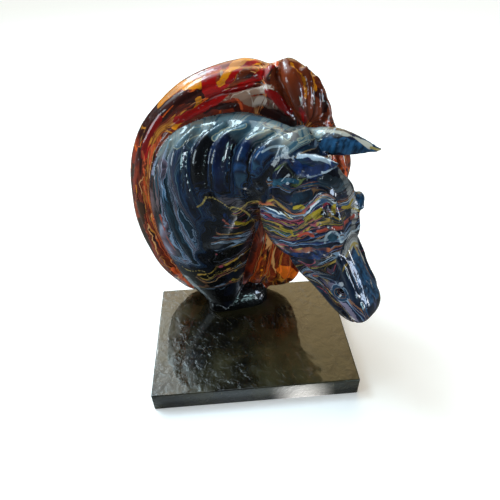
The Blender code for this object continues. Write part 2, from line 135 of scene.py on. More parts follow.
def turn_at(along):
    """How far the neck has turned at a length along it, in radians."""
    share = min(max((along - TURN_START) / (TURN_END - TURN_START), 0.0), 1.0)
    return math.radians(HEAD_TURN) * share * share * (3.0 - 2.0 * share)


def bent(along, z, side):
    """A point on the neck, which bends sideways as it nears the head."""
    x, y = BEND_PLACE
    for i in range(BEND_STEPS):
        angle = turn_at(along * (i + 0.5) / BEND_STEPS)
        x += math.cos(angle) * along / BEND_STEPS
        y -= math.sin(angle) * along / BEND_STEPS
    angle = turn_at(along)
    return (x + side * math.sin(angle), y + side * math.cos(angle), z)


poll = np.array(bent(*POLL))
turn, tilt, lean = (math.radians(v) for v in (HEAD_TURN, HEAD_TILT, HEAD_LEAN))
ahead = np.array((math.cos(turn), -math.sin(turn), 0.0))
sideways = np.array((math.sin(turn), math.cos(turn), 0.0))
upward = np.array((0.0, 0.0, 1.0))
downhill = ahead * math.sin(tilt) - upward * math.cos(tilt)
BROW_WAY = ahead * math.cos(tilt) + upward * math.sin(tilt)
SIDE_WAY = math.cos(lean) * sideways + math.sin(lean) * downhill
LIP_WAY = math.cos(lean) * downhill - math.sin(lean) * sideways
HEAD_WAYS = (LIP_WAY, BROW_WAY, SIDE_WAY)


def on_head(along, brow, side):
    """A point given from the poll: towards the lips, out of the face, away from the viewer."""
    return poll + along * LIP_WAY + brow * BROW_WAY + side * SIDE_WAY


print("one model millimetre is", round(unit * 1000, 4), "mm; poll at", poll.round(1))

# %% Curves and angles
def round_angles(count):
    """Angles spaced evenly round a ring."""
    return np.linspace(0, 2 * math.pi, count + 1)[:-1]


def spline(rows, count):
    """A smooth curve that passes through rows of numbers, as count rows."""
    rows = np.array(rows, float)
    rows = np.vstack([2 * rows[0] - rows[1], rows, 2 * rows[-1] - rows[-2]])
    out = []
    for at in np.linspace(0.0, len(rows) - 3.000001, count):  # ends just short of the last row
        i = int(at)
        f = at - i
        a, b, c, d = rows[i : i + 4]
        bow = (2 * a - 5 * b + 4 * c - d) * f * f + (3 * b - a - 3 * c + d) * f**3
        out.append(0.5 * (2 * b + (c - a) * f + bow))
    return np.array(out)


print("halfway along a curve through 0, 1, 4:", spline([[0], [1], [4]], 5)[2])

# %% Tools that make a lump
ROPE_SIDES, ROPE_RINGS, THINNEST_ROPE = 12, 30, 0.4
BALL_SEGMENTS = {"u_segments": 24, "v_segments": 14}
lumps = []


def mesh_of(bm, name):
    """Turns a bmesh into a mesh and frees it."""
    mesh = bpy.data.meshes.new(name)
    bm.to_mesh(mesh)
    bm.free()
    return mesh


def keep_lump(bm, kind):
    """Stores a closed lump with its kind: neck, head, mane or foot."""
    bmesh.ops.recalc_face_normals(bm, faces=bm.faces[:])
    mesh = mesh_of(bm, kind)
    lumps.append((kind, mesh))
    return mesh


def skin_rings(rings, kind):
    """A closed lump through rings of points."""
    bm = bmesh.new()
    rows = [[bm.verts.new(place(*p)) for p in ring] for ring in rings]
    count = len(rows[0])
    for low, high in zip(rows, rows[1:]):
        for i in range(count):
            j = (i + 1) % count
            bm.faces.new((low[i], low[j], high[j], high[i]))
    for row in (rows[0], rows[-1]):
        tip = bm.verts.new(sum((v.co for v in row), Vector()) / count)
        for i in range(count):
            bm.faces.new((tip, row[i], row[(i + 1) % count]))
    return keep_lump(bm, kind)


def ball(centre, radii):
    """A ball stretched along the head's three ways."""
    bm = bmesh.new()
    bmesh.ops.create_uvsphere(bm, radius=1.0, **BALL_SEGMENTS)
    for v in bm.verts:
        shift = sum(np.array(way) * radius * part for way, radius, part in zip(HEAD_WAYS, radii, v.co))
        v.co = place(*(np.array(centre) + shift))
    keep_lump(bm, "head")


def rope(path, radii, kind, flat=1.0, face=(0.0, -1.0, 0.0)):
    """A tapered strand along a path, flattened along the way it faces."""
    centre = spline(path, ROPE_RINGS)
    radius = spline([[r] for r in radii], ROPE_RINGS)[:, 0]
    rings = []
    for i, (c, r) in enumerate(zip(centre, radius)):
        run = centre[min(i + 1, ROPE_RINGS - 1)] - centre[max(i - 1, 0)]
        run /= np.linalg.norm(run)
        across = np.cross(run, face)
        across /= np.linalg.norm(across)
        out = np.cross(across, run) * flat
        r = max(r, THINNEST_ROPE)
        rings.append([c + (across * math.cos(a) + out * math.sin(a)) * r for a in round_angles(ROPE_SIDES)])
    skin_rings(rings, kind)


print("a rope has", ROPE_SIDES, "sides and", ROPE_RINGS, "rings")

# %% Laying things on a skin
RAY_START = 0.5  # metres


def skin_of(mesh):
    """A mesh that rays can be cast at."""
    return BVHTree.FromPolygons([v.co.copy() for v in mesh.vertices], [p.vertices[:] for p in mesh.polygons])


def laid(skin, path, lift=0.0, away=1):
    """Points given as x, z in front view, moved along the depth onto a skin and lifted off it."""
    out = []
    for x, z in path:
        ray = Vector((0.0, away, 0.0))
        hit = skin.ray_cast(place(x, 0.0, z) - ray * RAY_START, ray)[0]
        if hit is not None:
            out.append((x, hit.y / unit - away * lift, z))
    return np.array(out)


print("rays start", RAY_START, "m in front of the figure")

# %% [markdown]
# ## Neck, head and ears
# The neck is a loft through oval sections: each row gives the crest and the throat, as distance along
# the bent middle plane and height, and half the thickness. The head is a loft of rounded squares
# from the poll to the lips. A box that is subdivided and pulled into shape would do as well, but a loft
# keeps each section as it was measured. The muscles and bones that catch the light, cheek, brow,
# eyelids, facial crest, nostril wings and chin, are added as balls and ropes on both sides.

# %% Neck
NECK_SECTIONS = (
    (-26, 20, 10, 20, 15),
    (-33, 36, 12, 39, 20),
    (-52.7, 72, 20.5, 84, 25),
    (-64.6, 114, 28.4, 118, 29),
    (-68.6, 163, 36, 140, 31),
    (-61.4, 199, 43, 158, 32),
    (-41, 229, 52, 168, 31),
    (-14, 240, 62, 176, 29),
    (20.7, 245, 74, 184, 26),
    (53.9, 244, 86, 196, 23),
    (78, 240, 94, 212, 18),
)
LOFT_RINGS, RING_POINTS = 60, 48
THROAT_SWELL = 0.18  # how much thicker the neck is on the throat side
neck_rings = []
for crest, crest_z, throat, throat_z, half in spline(NECK_SECTIONS, LOFT_RINGS):
    ring = []
    for a in round_angles(RING_POINTS):
        c, s = math.cos(a), math.sin(a)
        along = (crest + throat) / 2 + (throat - crest) / 2 * c
        z = (crest_z + throat_z) / 2 + (throat_z - crest_z) / 2 * c
        ring.append(bent(along, z, half * s * (1.0 + THROAT_SWELL * c)))
    neck_rings.append(ring)
neck_skin = skin_of(skin_rings(neck_rings, "neck"))
print("neck of", len(neck_rings), "sections")

# %% Head
HEAD_SECTIONS = (  # distance from the poll, brow line, jaw line, half width, wider on the brow side
    (-9, 4, -20, 14, 0),
    (0, 9, -34, 21, 0),
    (18, 15.5, -46, 25, 0),
    (27, 22, -51, 26, 0.01),
    (36, 26, -55, 27, 0.02),
    (52, 26.5, -59, 27.5, 0),
    (68, 25, -58, 26, -0.04),
    (84, 24, -52, 23, -0.08),
    (94, 24, -46, 20, -0.1),
    (103, 25, -38.5, 17.5, -0.12),
    (112, 27, -29.5, 16.5, -0.12),
    (122, 29.5, -19, 16.5, -0.1),
    (132, 32, -9, 18.5, -0.02),
    (142, 34, -5, 19.5, 0),
    (150, 32.5, -1, 18.5, 0.03),
    (157, 28.5, 6, 14.5, 0.05),
    (161, 23, 12, 8.5, 0.05),
)
ROUNDNESS, BROW_ROUNDNESS = 0.85, 0.55  # 1 is an oval, less is squarer
FAR_SLOPE, SLOPE_FADE = 0.9, (24.0, 44.0)  # the far half falls away between the ears
head_rings = []
for at, top, low, half, wider in spline(HEAD_SECTIONS, LOFT_RINGS):
    slope = FAR_SLOPE * min(max((SLOPE_FADE[1] - at) / (SLOPE_FADE[1] - SLOPE_FADE[0]), 0.0), 1.0)
    ring = []
    for a in round_angles(RING_POINTS):
        c, s = math.cos(a), math.sin(a)
        s = math.copysign(abs(s) ** (BROW_ROUNDNESS if c > 0 else ROUNDNESS), s)
        c = math.copysign(abs(c) ** ROUNDNESS, c)
        side = half * s * (1 + wider * c)
        brow = (top + low) / 2 + (top - low) / 2 * c - slope * max(side, 0.0) * max(c, 0.0)
        ring.append(on_head(at, brow, side))
    head_rings.append(ring)
skin_rings(head_rings, "head")
print("head of", len(head_rings), "sections")

# %% Muscles and bones of the head
NEAR_RISE, FAR_EYE_DROP, FAR_BROW_DROP = 4.0, 6.0, 11.0  # the far eye sits lower than the near one
FAR_TUCK = 2.5
CHEEK, EYE_BLOCK, EYE, NOSTRIL_WING = (34, 31, 10), (28, 15, 8), (9, 6.5, 5.5), (10, 9, 5.5)  # radii
CHIN, LIPS, FOREHEAD, JOWL = (10, 8.5, 15), (10, 12, 15), (22, 11, 15), (8, 10, 5)
BROW_LINE = ((62, 4, 25), (54, 10, 27.5), (48, 18, 27), (44.5, 23, 24.5), (46, 26.5, 21.5), (54, 27.5, 17))
LID_LINE = ((64, 8, 26), (65, 15, 26), (61, 23, 20))
FACE_EDGE = ((46, 23.5, 13.5), (58, 24.5, 13), (70, 23.5, 12.5), (80, 22, 13), (88, 19, 15))
NOSE_LINE = ((90, 17, 16), (103, 20, 14), (112, 21, 13.5), (121, 23, 13.5), (132, 25.5, 14), (146, 26, 11))
MOUTH_LINE = (
    (104, -22, 18), (112, -12, 17.5), (120, -1, 17.3), (127, 4.5, 17), (134, 8, 17.5), (141, 12.5, 19.5),
    (150, 17, 18), (158, 19, 10), (161, 20, 0),
)
LIP_LINE = (
    (100, -34, 13), (110, -25, 14), (120, -14, 14.5), (130, -5, 15), (139, 3, 16), (146, 9, 15),
    (152, 13, 9),
)
EAR_FOLD = ((38, -22, -27), (24, -16, -26), (15, -8, -23), (12, 2, -19))


def half_line(line, side, low=0.0, tuck=0.0):
    """A line given on one half of the head, moved to the half that side says."""
    return [on_head(along + low, brow, side * (out - tuck)) for along, brow, out in line]


for side in (-1, 1):
    eye_low = FAR_EYE_DROP if side > 0 else -NEAR_RISE
    brow_low = FAR_BROW_DROP if side > 0 else -NEAR_RISE
    tuck = FAR_TUCK if side > 0 else 0.0
    ball(on_head(62, -20, side * 19.5), CHEEK)
    ball(on_head(66, 6, side * 18.5), EYE_BLOCK)
    ball(on_head(56 + eye_low, 17, side * (25 - tuck)), EYE)
    rope(half_line(BROW_LINE, side, brow_low, tuck), (2.5, 3.2, 3.5, 3.4, 2.8), "head", face=BROW_WAY)
    rope(half_line(LID_LINE, side, eye_low, tuck), (1.8, 2.3, 2), "head", face=BROW_WAY)
    rope(half_line(FACE_EDGE, side), (1.5, 2.8, 3, 2.8, 1.5), "head")
    rope(half_line(NOSE_LINE, side), (2, 3.4, 3.6, 3.8, 4, 3), "head")
    rope(half_line(LIP_LINE, side), (2.5, 3.5, 3.5, 3.5, 3.5, 2.5), "head")
    ball(on_head(127, 14, side * 12.5), NOSTRIL_WING)
ball(on_head(146, 4, 0), CHIN)
ball(on_head(151, 19, 0), LIPS)
ball(on_head(41, 16, -3), FOREHEAD)
ball(on_head(30, -7, -24), JOWL)
rope([on_head(*p) for p in EAR_FOLD], (2.5, 4, 4, 3), "head", face=BROW_WAY)
print("head with", sum(kind == "head" for kind, _ in lumps), "lumps")

# %% Ears
EARS = (  # base, tip, and the way that the hollow faces
    ((19, -3, -15), (14.5, 46, -29), -SIDE_WAY * 0.9 + LIP_WAY * 0.25),
    ((3, 2, 10), (22, 50, 25.2), SIDE_WAY * 0.8 + LIP_WAY * 0.5),
)
EAR_WIDTHS = (7.5, 10, 11, 10, 7.5, 4.2, 0.6)
EAR_RINGS, EAR_SIDES = 24, 20
EAR_ROOT = -0.15  # the share of its length that an ear starts below its base
EAR_BOW, EAR_FLAT = 2.0, 0.55
for base, tip, mouth in EARS:
    foot, top = on_head(*base), on_head(*tip)
    run = top - foot
    across = np.cross(run, mouth)
    across /= np.linalg.norm(across)
    out = np.cross(across, run / np.linalg.norm(run))
    rings = []
    halves = spline([[w] for w in EAR_WIDTHS], EAR_RINGS)[:, 0]
    for f, half in zip(np.linspace(EAR_ROOT, 1.0, EAR_RINGS), halves):
        centre = foot + run * f - out * EAR_BOW * math.sin(math.pi * max(f, 0))
        oval = [across * math.cos(a) + out * EAR_FLAT * math.sin(a) for a in round_angles(EAR_SIDES)]
        rings.append([centre + way * half for way in oval])
    skin_rings(rings, "head")
print("two ears,", round(float(np.linalg.norm(run))), "mm long")

# %% [markdown]
# ## Mane
# The mane is a thick lens behind the neck, with an outline seen from the front and a middle plane that
# comes forward on the right. Locks are ropes laid on its skin: three long ones follow the rim from the
# poll round to the foot, short ones fan out over the poll, and others fall down the right side and
# spread to the foot. The hidden back has plain rows. Blender's hair would give single strands, while
# the real mane is one cast body with broad locks, so a body with ropes comes closer.

# %% Mane body
MANE_OUTLINE = (
    (6, 282), (17, 280.5), (27, 277.5), (35.5, 280.5), (43, 283), (51.5, 279), (62, 271.5), (70, 261.5),
    (74, 250.5), (77, 241), (83.5, 226), (96.5, 205), (98.5, 187), (93, 164), (79, 143), (68, 120), (63, 90),
    (58, 62), (49, 39), (27, 28), (-8, 26), (-38, 24), (-65, 28), (-84, 48), (-96.5, 69),
    (-103.5, 92), (-108.5, 115), (-110.5, 139), (-109, 163), (-106, 186), (-99, 209),
    (-87, 231), (-67.5, 251), (-50, 264.5), (-32, 273), (-12, 279),
)
MANE_HUB = (-8.0, 158.0)
MANE_FRONT, MANE_BACK = 27.0, 30.0  # thickness before and behind the middle plane
MANE_PLANE, MANE_FORWARD = 68.0, 26.0  # where that plane lies, and how far it comes forward on the right
MANE_BEND, MANE_BEND_WIDE = 5.0, 90.0
MANE_SLICES, OUTLINE_POINTS, RIM_FULLNESS = 23, 108, 0.8


def mane_plane(x):
    """Where the middle plane of the mane lies, from front to back."""
    share = min(max((x - MANE_BEND) / MANE_BEND_WIDE, 0.0), 1.0)
    return MANE_PLANE - MANE_FORWARD * share * share * (3 - 2 * share)


mane_rings = []
outline = spline(MANE_OUTLINE + MANE_OUTLINE[:1], OUTLINE_POINTS + 1)[:-1]
for lie in np.linspace(-0.5, 0.5, MANE_SLICES + 2)[1:-1]:
    wide, deep = math.cos(lie * math.pi) ** RIM_FULLNESS, math.sin(lie * math.pi)
    ring = []
    for x, z in outline:
        px = MANE_HUB[0] + (x - MANE_HUB[0]) * wide
        pz = MANE_HUB[1] + (z - MANE_HUB[1]) * wide
        ring.append((px, mane_plane(px) + (MANE_FRONT if deep < 0 else MANE_BACK) * deep, pz))
    mane_rings.append(ring)
mane_skin = skin_of(skin_rings(mane_rings, "mane"))
print("mane body of", len(mane_rings), "slices")

# %% Locks
NECK_LOCKS = (  # path in front view, and radii along it
    (((-66, 226), (-76, 203), (-77, 172), (-71, 134), (-58, 92)), (3, 5.5, 6, 5, 1.5)),
    (((-59, 226), (-68, 202), (-67, 169), (-61, 133), (-50, 95)), (3, 5.5, 6.5, 5.5, 1.5)),
    (((-50, 226), (-60, 199), (-58, 168), (-52, 142), (-42, 117)), (3, 6, 6.5, 6, 1.5)),
    (((-36, 236), (-52, 219), (-56, 198), (-50, 172), (-38, 148)), (4, 8, 9, 7, 1.5)),
    (((-12, 240), (-29, 226), (-36, 208), (-35, 184), (-30, 160)), (4, 9, 10, 8, 2)),
    (((6, 241), (-12, 230), (-20, 213), (-22, 192), (-17, 172)), (4, 8, 9.5, 7.5, 2)),
    (((24, 241), (7, 231), (0, 216), (-2, 200), (-1, 184)), (4, 8, 9, 7, 2)),
    (((36, 240), (22, 233), (13, 222), (10, 208), (12, 194)), (3, 6.5, 7.5, 6, 2)),
)
RIM_LOCKS = (
    (((-62, 226), (-73, 208), (-78, 184), (-78, 150), (-72, 112), (-56, 66)), (2, 4, 4.5, 4.5, 3)),
    (
        (
            (28, 262), (13, 260), (0, 257), (-14, 255), (-27, 250), (-40, 244), (-53, 235),
            (-68, 220), (-80, 200), (-86, 172), (-86, 138), (-80, 100), (-64, 60),
        ),
        (4, 6.5, 5.5, 5, 3),
    ),
    (
        (
            (22, 272), (4, 271), (-12, 268), (-30, 262), (-48, 252), (-64, 240), (-79, 221),
            (-90, 198), (-96, 173), (-97, 145), (-92, 105), (-78, 64),
        ),
        (5, 9.5, 9, 7, 5),
    ),
)
POLL_LOCKS = (
    (((30, 277), (26, 268), (28, 259), (35, 249), (45, 240)), (5, 7.5, 7.5, 6, 3)),
    (((38, 281), (42, 271), (46, 260), (49, 250), (52, 241)), (5, 8.5, 8, 6, 3)),
    (((52, 277), (56, 268), (57, 258), (57, 248), (57, 240)), (4, 5, 4.5, 4, 3)),
    (((61, 271), (63, 264), (64, 256), (64, 248), (63, 241)), (3, 4.5, 4.5, 4, 3)),
    (((65, 259), (69, 252), (72, 245), (73, 237)), (3, 4, 4, 3)),
)
RIGHT_LOCKS = (
    (((64, 240), (77, 226), (84, 208), (88, 188), (84, 160)), (3, 5, 5.5, 5, 3)),
    (((62, 236), (70, 218), (74, 196), (72, 160), (60, 110)), (3, 5, 6, 6, 3)),
)
FOOT_LOCKS = (
    (((20, 140), (14, 110), (2, 70), (-10, 38)), (4, 6, 7, 5)),
    (((26, 140), (22, 108), (14, 68), (6, 32)), (4, 6, 7.5, 4)),
    (((34, 140), (32, 104), (28, 66), (22, 34)), (4, 6, 7.5, 4)),
    (((44, 136), (42, 100), (40, 66), (37, 40)), (4, 6, 7, 3)),
    (((56, 130), (54, 98), (52, 68), (48, 48)), (4, 6, 6, 3)),
)
NECK_SINK, NECK_FLAT, MANE_FLAT = 0.5, 0.7, 0.85
for path, radii in NECK_LOCKS:
    rope(laid(neck_skin, path, -NECK_SINK), radii, "neck", flat=NECK_FLAT)
for path, radii in RIM_LOCKS + POLL_LOCKS + RIGHT_LOCKS + FOOT_LOCKS:
    rope(laid(mane_skin, path), radii, "mane", flat=MANE_FLAT)
print("lumps with the locks:", len(lumps))

# %% Hidden locks
BACK_SWINGS = (-108, -98, -88, -74, -60, -46, -32, -18, -4, 10, 24, 40)
BACK_START, BACK_TOP, BACK_DROP = 46, 262, 226
BACK_RADII, BACK_FLAT, BACK_SINK, SWING_FULLNESS = (4, 7, 8, 7, 4), 0.6, 2.5, 0.8


def back_lock(swing):
    """A lock laid on the hidden side, from the poll to the foot, swung out to the side."""
    path = []
    for f in np.linspace(0.04, 0.96, 9):
        out = swing * math.sin(math.pi * f) ** SWING_FULLNESS
        path.append((BACK_START - BACK_START * f + out, BACK_TOP - BACK_DROP * f))
    return laid(mane_skin, path, -BACK_SINK, away=-1)


for swing in BACK_SWINGS:
    rope(back_lock(swing), BACK_RADII, "mane", flat=BACK_FLAT, face=(0, 1, 0))
print("locks on the back:", len(BACK_SWINGS))

# %% Foot
FOOT_MIDDLE = (-11.0, 59.0)
FOOT_HALF = (35.0, 27.0)
FOOT_SKEW = 0.15
FOOT_STATIONS = ((18, 0.99), (26, 1.0), (34, 0.95), (41, 0.82), (46, 0.6))  # height, and share of the size
FOOT_RINGS, FOOT_SIDES, FOOT_ROUNDNESS = 9, 60, 0.5
foot_rings = []
for z, share in spline(FOOT_STATIONS, FOOT_RINGS):
    ring = []
    for a in round_angles(FOOT_SIDES):
        c = math.copysign(abs(math.cos(a)) ** FOOT_ROUNDNESS, math.cos(a))
        s = math.copysign(abs(math.sin(a)) ** FOOT_ROUNDNESS, math.sin(a))
        dx = FOOT_HALF[0] * share * c
        ring.append((FOOT_MIDDLE[0] + dx, FOOT_MIDDLE[1] + FOOT_HALF[1] * share * s + FOOT_SKEW * dx, z))
    foot_rings.append(ring)
skin_rings(foot_rings, "foot")
print("all lumps:", len(lumps))

# %% [markdown]
# ## One skin
# The lumps are fused by rebuilding their outer surface from small cubes, which is what Blender's Remesh
# modifier does in voxel mode. A Boolean union would also join them, but it leaves knife-sharp seams
# where clay would be smoothed over. A cube of 1.46 mm keeps the fine creases and stays under 200,000
# triangles. A few rounds of smoothing take off the stair steps, and the foot is cut flat.

# %% Fuse
SKIN_STEP = 0.00146  # metres
SMOOTH_ROUNDS, SMOOTH_SHARE = 6, 0.5

bm = bmesh.new()
for _, mesh in lumps:
    bm.from_mesh(mesh)
horse = shown("marbled_horse", mesh_of(bm, "fused"))
fuse = horse.modifiers.new("fuse", "REMESH")
fuse.mode = "VOXEL"
fuse.voxel_size = SKIN_STEP
soften = horse.modifiers.new("soften", "SMOOTH")
soften.factor = SMOOTH_SHARE
soften.iterations = SMOOTH_ROUNDS
casting = bpy.data.meshes.new_from_object(horse.evaluated_get(bpy.context.evaluated_depsgraph_get()))
horse.modifiers.clear()

bm = bmesh.new()
bm.from_mesh(casting)
everything = bm.verts[:] + bm.edges[:] + bm.faces[:]
sliced = bmesh.ops.bisect_plane(
    bm, geom=everything, plane_co=(0, 0, seat), plane_no=(0, 0, -1), clear_outer=True
)
rim = [item for item in sliced["geom_cut"] if isinstance(item, bmesh.types.BMEdge)]
bmesh.ops.edgeloop_fill(bm, edges=rim)
bmesh.ops.triangulate(bm, faces=[f for f in bm.faces if len(f.verts) > 4])
bm.to_mesh(casting)
bm.free()
horse.data = casting
print("fused skin:", len(casting.vertices), "points,", len(casting.polygons), "faces")

# %% [markdown]
# ## Tool marks
# On the real mould the hollows of the ears, the nostrils, the mouth and the partings of the hair were
# cut with a loop tool. Bump in the material could only shade them, and their edges have to catch the
# light, so the mesh itself is cut: every point near a stroke is pushed in, most on the stroke's middle
# line and not at all at its edge. Combing is the same stroke repeated between two neighbouring locks.

# %% Loop tool
FACING = -0.1  # a stroke with a way of its own leaves the skin that faces away from it
points = np.array([v.co for v in casting.vertices])
normals = np.array([v.normal for v in casting.vertices])


def cut(path, width, depth, away=None):
    """Pushes the skin in along a path; width (to each side) and depth are in millimetres."""
    length = sum(np.linalg.norm(np.subtract(a, b)) for a, b in zip(path, path[1:]))
    track = spline(path, int(length) + 2) if len(path) > 1 else np.array(path, float)
    track = np.array([place(*p) for p in track])
    reach = width * unit
    near = np.all((points > track.min(axis=0) - reach) & (points < track.max(axis=0) + reach), axis=1)
    near = np.nonzero(near)[0]
    if len(near) == 0:
        return
    gap = np.linalg.norm(points[near, None, :] - track[None, :, :], axis=2).min(axis=1)
    share = np.clip(1.0 - (gap / reach) ** 2, 0.0, 1.0) ** 2
    if away is None:
        way = -normals[near]
    else:
        way = np.broadcast_to(np.array(away, float), (len(near), 3))
        share = share * (normals[near] @ -np.array(away) > FACING)
    points[near] += way * (share * depth * unit)[:, None]


def update_casting():
    """Moves the casting's own points to where the strokes left them."""
    casting.vertices.foreach_set("co", points.ravel())
    casting.update()
    flat_normals = np.empty(len(points) * 3)
    casting.vertices.foreach_get("normal", flat_normals)
    normals[:] = flat_normals.reshape(-1, 3)


print("the casting lies between", points.min(axis=0).round(4), "and", points.max(axis=0).round(4))

# %% Hollows
EAR_HOLLOW, NOSTRIL, MOUTH = (7.0, 3.0), (5.0, 7.0), (3.0, 2.4)  # width to each side, and depth
HOLLOW_SHARES, HOLLOW_OUT = (0.12, 0.3, 0.5, 0.72), 5.0
for base, tip, mouth in EARS:
    mouth = np.array(mouth) / np.linalg.norm(mouth)
    foot, top = on_head(*base), on_head(*tip)
    hollow = [foot + (top - foot) * f + mouth * HOLLOW_OUT * (1 - f) for f in HOLLOW_SHARES]
    cut(hollow, *EAR_HOLLOW, away=-mouth)
for side in (-1, 1):
    cut([on_head(127, 13.5, side * 18)], *NOSTRIL, away=-side * SIDE_WAY)
    cut(half_line(MOUTH_LINE, side), *MOUTH)
update_casting()
print("ears, nostrils and mouth cut")

# %% Comb
COMB_WIDTH, COMB_LIFT, COMB_POINTS = 2.6, 2.0, 12
RIM_COMB, FOOT_COMB, LONG_COMB, SHORT_COMB = (2, 1.1), (3, 1.0), (3, 0.6), (1, 2.2)  # teeth, and depth
PARTINGS = (
    (
        (30, 278), (23, 273), (19, 267), (9, 264), (-9, 261), (-26, 256), (-43, 245), (-64, 231),
        (-80, 209), (-88, 186), (-91, 150),
    ),
    (
        (39, 241), (28, 245), (18, 249), (-2, 251), (-15, 251), (-29, 247), (-42, 240), (-58, 230),
        (-72, 212),
    ),
    ((31, 278), (32, 271), (35, 264), (38, 257), (42, 247), (48, 238)),
    ((43, 279), (48, 274), (52, 267), (53, 256), (54, 247), (56, 239)),
    ((57, 275), (59, 268), (60, 258), (60, 249), (59, 241)),
    ((63, 266), (66, 257), (68, 248), (68, 242)),
)
PARTING_WIDTH, PARTING_DEPTH = 3.6, 2.2


def comb(first, second, skin, teeth, depth):
    """Grooves between two neighbouring locks, given in front view."""
    first, second = spline(first, COMB_POINTS), spline(second, COMB_POINTS)
    for tooth in range(teeth):
        share = (tooth + 0.5) / teeth
        between = laid(skin, first * (1 - share) + second * share, COMB_LIFT)
        if len(between) > 2:
            cut(between, COMB_WIDTH, depth)


def paths_of(locks):
    """The paths of locks without their radii."""
    return [path for path, _ in locks]


rims, polls, falls, feet = (paths_of(group) for group in (RIM_LOCKS, POLL_LOCKS, RIGHT_LOCKS, FOOT_LOCKS))
neck_paths = paths_of(NECK_LOCKS)
for path in PARTINGS:
    cut(laid(mane_skin, path, COMB_LIFT), PARTING_WIDTH, PARTING_DEPTH)
comb(rims[0], rims[1][6:], mane_skin, *RIM_COMB)
for first, second in zip(feet, feet[1:]):
    comb(first, second, mane_skin, *FOOT_COMB)
long_locks, short_locks = neck_paths[:4], neck_paths[3:]
for first, second in zip(long_locks, long_locks[1:]):
    comb(first, second, neck_skin, *LONG_COMB)
for first, second in zip(short_locks, short_locks[1:]):
    comb(first, second, neck_skin, *SHORT_COMB)
update_casting()
print("hair combed")

# %% [markdown]
# ## Which way the paint ran
# Poured enamel is drawn out along the way it runs, so a marbled surface has two directions at each
# place: along the run, where colours stay the same for long, and across it, where they change every
# few millimetres. A plain noise has no such directions and looks like cloud, so guide lines give them.
# Each guide has a number that counts across the run, and a point of the casting takes a weighted mean
# of the numbers of the guides near it. The hair's guides are its locks. Those on the face and throat
# are sagging lines, given in pixels of the picture and laid on the casting along the lines of sight.

# %% Guides
front_skin = skin_of(casting)


def seen(path):
    """Pixels of the picture, as points on the casting."""
    out = []
    for px, py in path:
        hit = front_skin.ray_cast(Vector(CAMERA_PLACE), sight(px, py))[0]
        if hit is not None:
            out.append(tuple(hit))
    return np.array(out)


def metres(path):
    """Points in the model's millimetres, as metres on the slab."""
    return np.array([place(*p) for p in path])


SAGS = (  # number across the run, and the line in the picture
    (0, ((255, 184), (262, 182), (273, 177), (287, 174), (300, 176), (312, 180), (325, 184), (336, 190))),
    (13, (
        (248, 193), (262, 193), (274, 190), (285, 201), (293, 207), (301, 204), (310, 196), (320, 189),
        (335, 193),
    )),
    (26, (
        (206, 197), (219, 201), (228, 207), (235, 212), (243, 207), (249, 202), (256, 201), (267, 203),
        (276, 206), (287, 211), (294, 215), (303, 211), (309, 206), (318, 197), (324, 194), (330, 196),
        (337, 200),
    )),
    (31, (
        (250, 206), (262, 208), (273, 208.5), (281, 213), (292, 218), (303, 216), (311, 210), (320, 201),
        (327, 199), (338, 205),
    )),
    (38, (
        (250, 210), (262, 213), (271, 217.5), (278, 220), (287, 223), (295, 225), (303, 220), (312, 213),
        (320, 208), (330, 206), (338, 211),
    )),
    (44, (
        (252, 214), (262, 219), (272, 222.5), (280, 226), (287, 229), (296, 228), (304, 224), (313, 218),
        (322, 214), (332, 214), (339, 219),
    )),
    (53, (
        (254, 220), (262, 226), (270, 230), (281, 234), (292, 235), (302, 231), (312, 226), (324, 222),
        (334, 222), (341, 226),
    )),
    (61, (
        (256, 226), (264, 233), (273, 238), (283, 240), (293, 240), (303, 237), (312, 232), (322, 230),
        (334, 229), (344, 228),
    )),
    (67, (
        (259, 232), (267, 239), (278, 242.5), (290, 243.5), (303, 242), (318, 240), (326, 236), (333, 231),
        (338, 237), (347, 232),
    )),
    (73, ((262, 237), (270, 244), (280, 247), (292, 250), (303, 249), (318, 250), (330, 249), (340, 246))),
    (83, ((266, 243), (276, 252), (288, 258), (302, 261), (318, 262), (331, 258), (341, 252))),
    (92, ((268, 249), (280, 259), (292, 267), (303, 270), (315, 271), (330, 266), (338, 261))),
    (101, ((276, 258), (290, 268), (303, 276), (314, 282), (322, 290), (328, 299), (334, 306), (345, 313))),
    (109, ((305, 272), (318, 277), (328, 285), (336, 296), (346, 308), (356, 315))),
    (118, ((343, 264), (348, 278), (352, 288), (357, 300), (361, 311))),
    (127, ((352, 246), (357, 262), (363, 280), (368, 295), (370, 308))),
    (135, ((357, 240), (363, 258), (371, 280), (377, 296))),
    (34, ((212, 210), (222, 216), (233, 221), (243, 218), (251, 212))),
    (48, ((206, 226), (218, 229), (232, 232), (243, 230), (250, 226))),
    (58, ((208, 240), (220, 239), (234, 237), (246, 234))),
    (65, ((206, 248), (214, 247), (225, 243), (242, 241), (251, 239))),
    (72, ((204, 257), (214, 258), (226, 254), (239, 247), (249, 243))),
    (81, ((192, 269), (202, 273), (208, 279), (217, 273), (228, 269), (240, 262), (247, 252))),
    (89, ((196, 281), (208, 284), (219, 279), (231, 273), (242, 272))),
    (98, ((205, 292), (225, 292), (240, 285))),
)
EAR_NUMBER = -14.0
LOCK_STEP = 10.0  # from one lock to the next, about its width in millimetres
MANE_FIRST, BACK_FIRST, NECK_FIRST = 1, 4, -12  # the first lock's number, in those steps
GUIDE_POINTS, BACK_GUIDE_POINTS, EAR_GUIDE_POINTS = 40, 60, 20

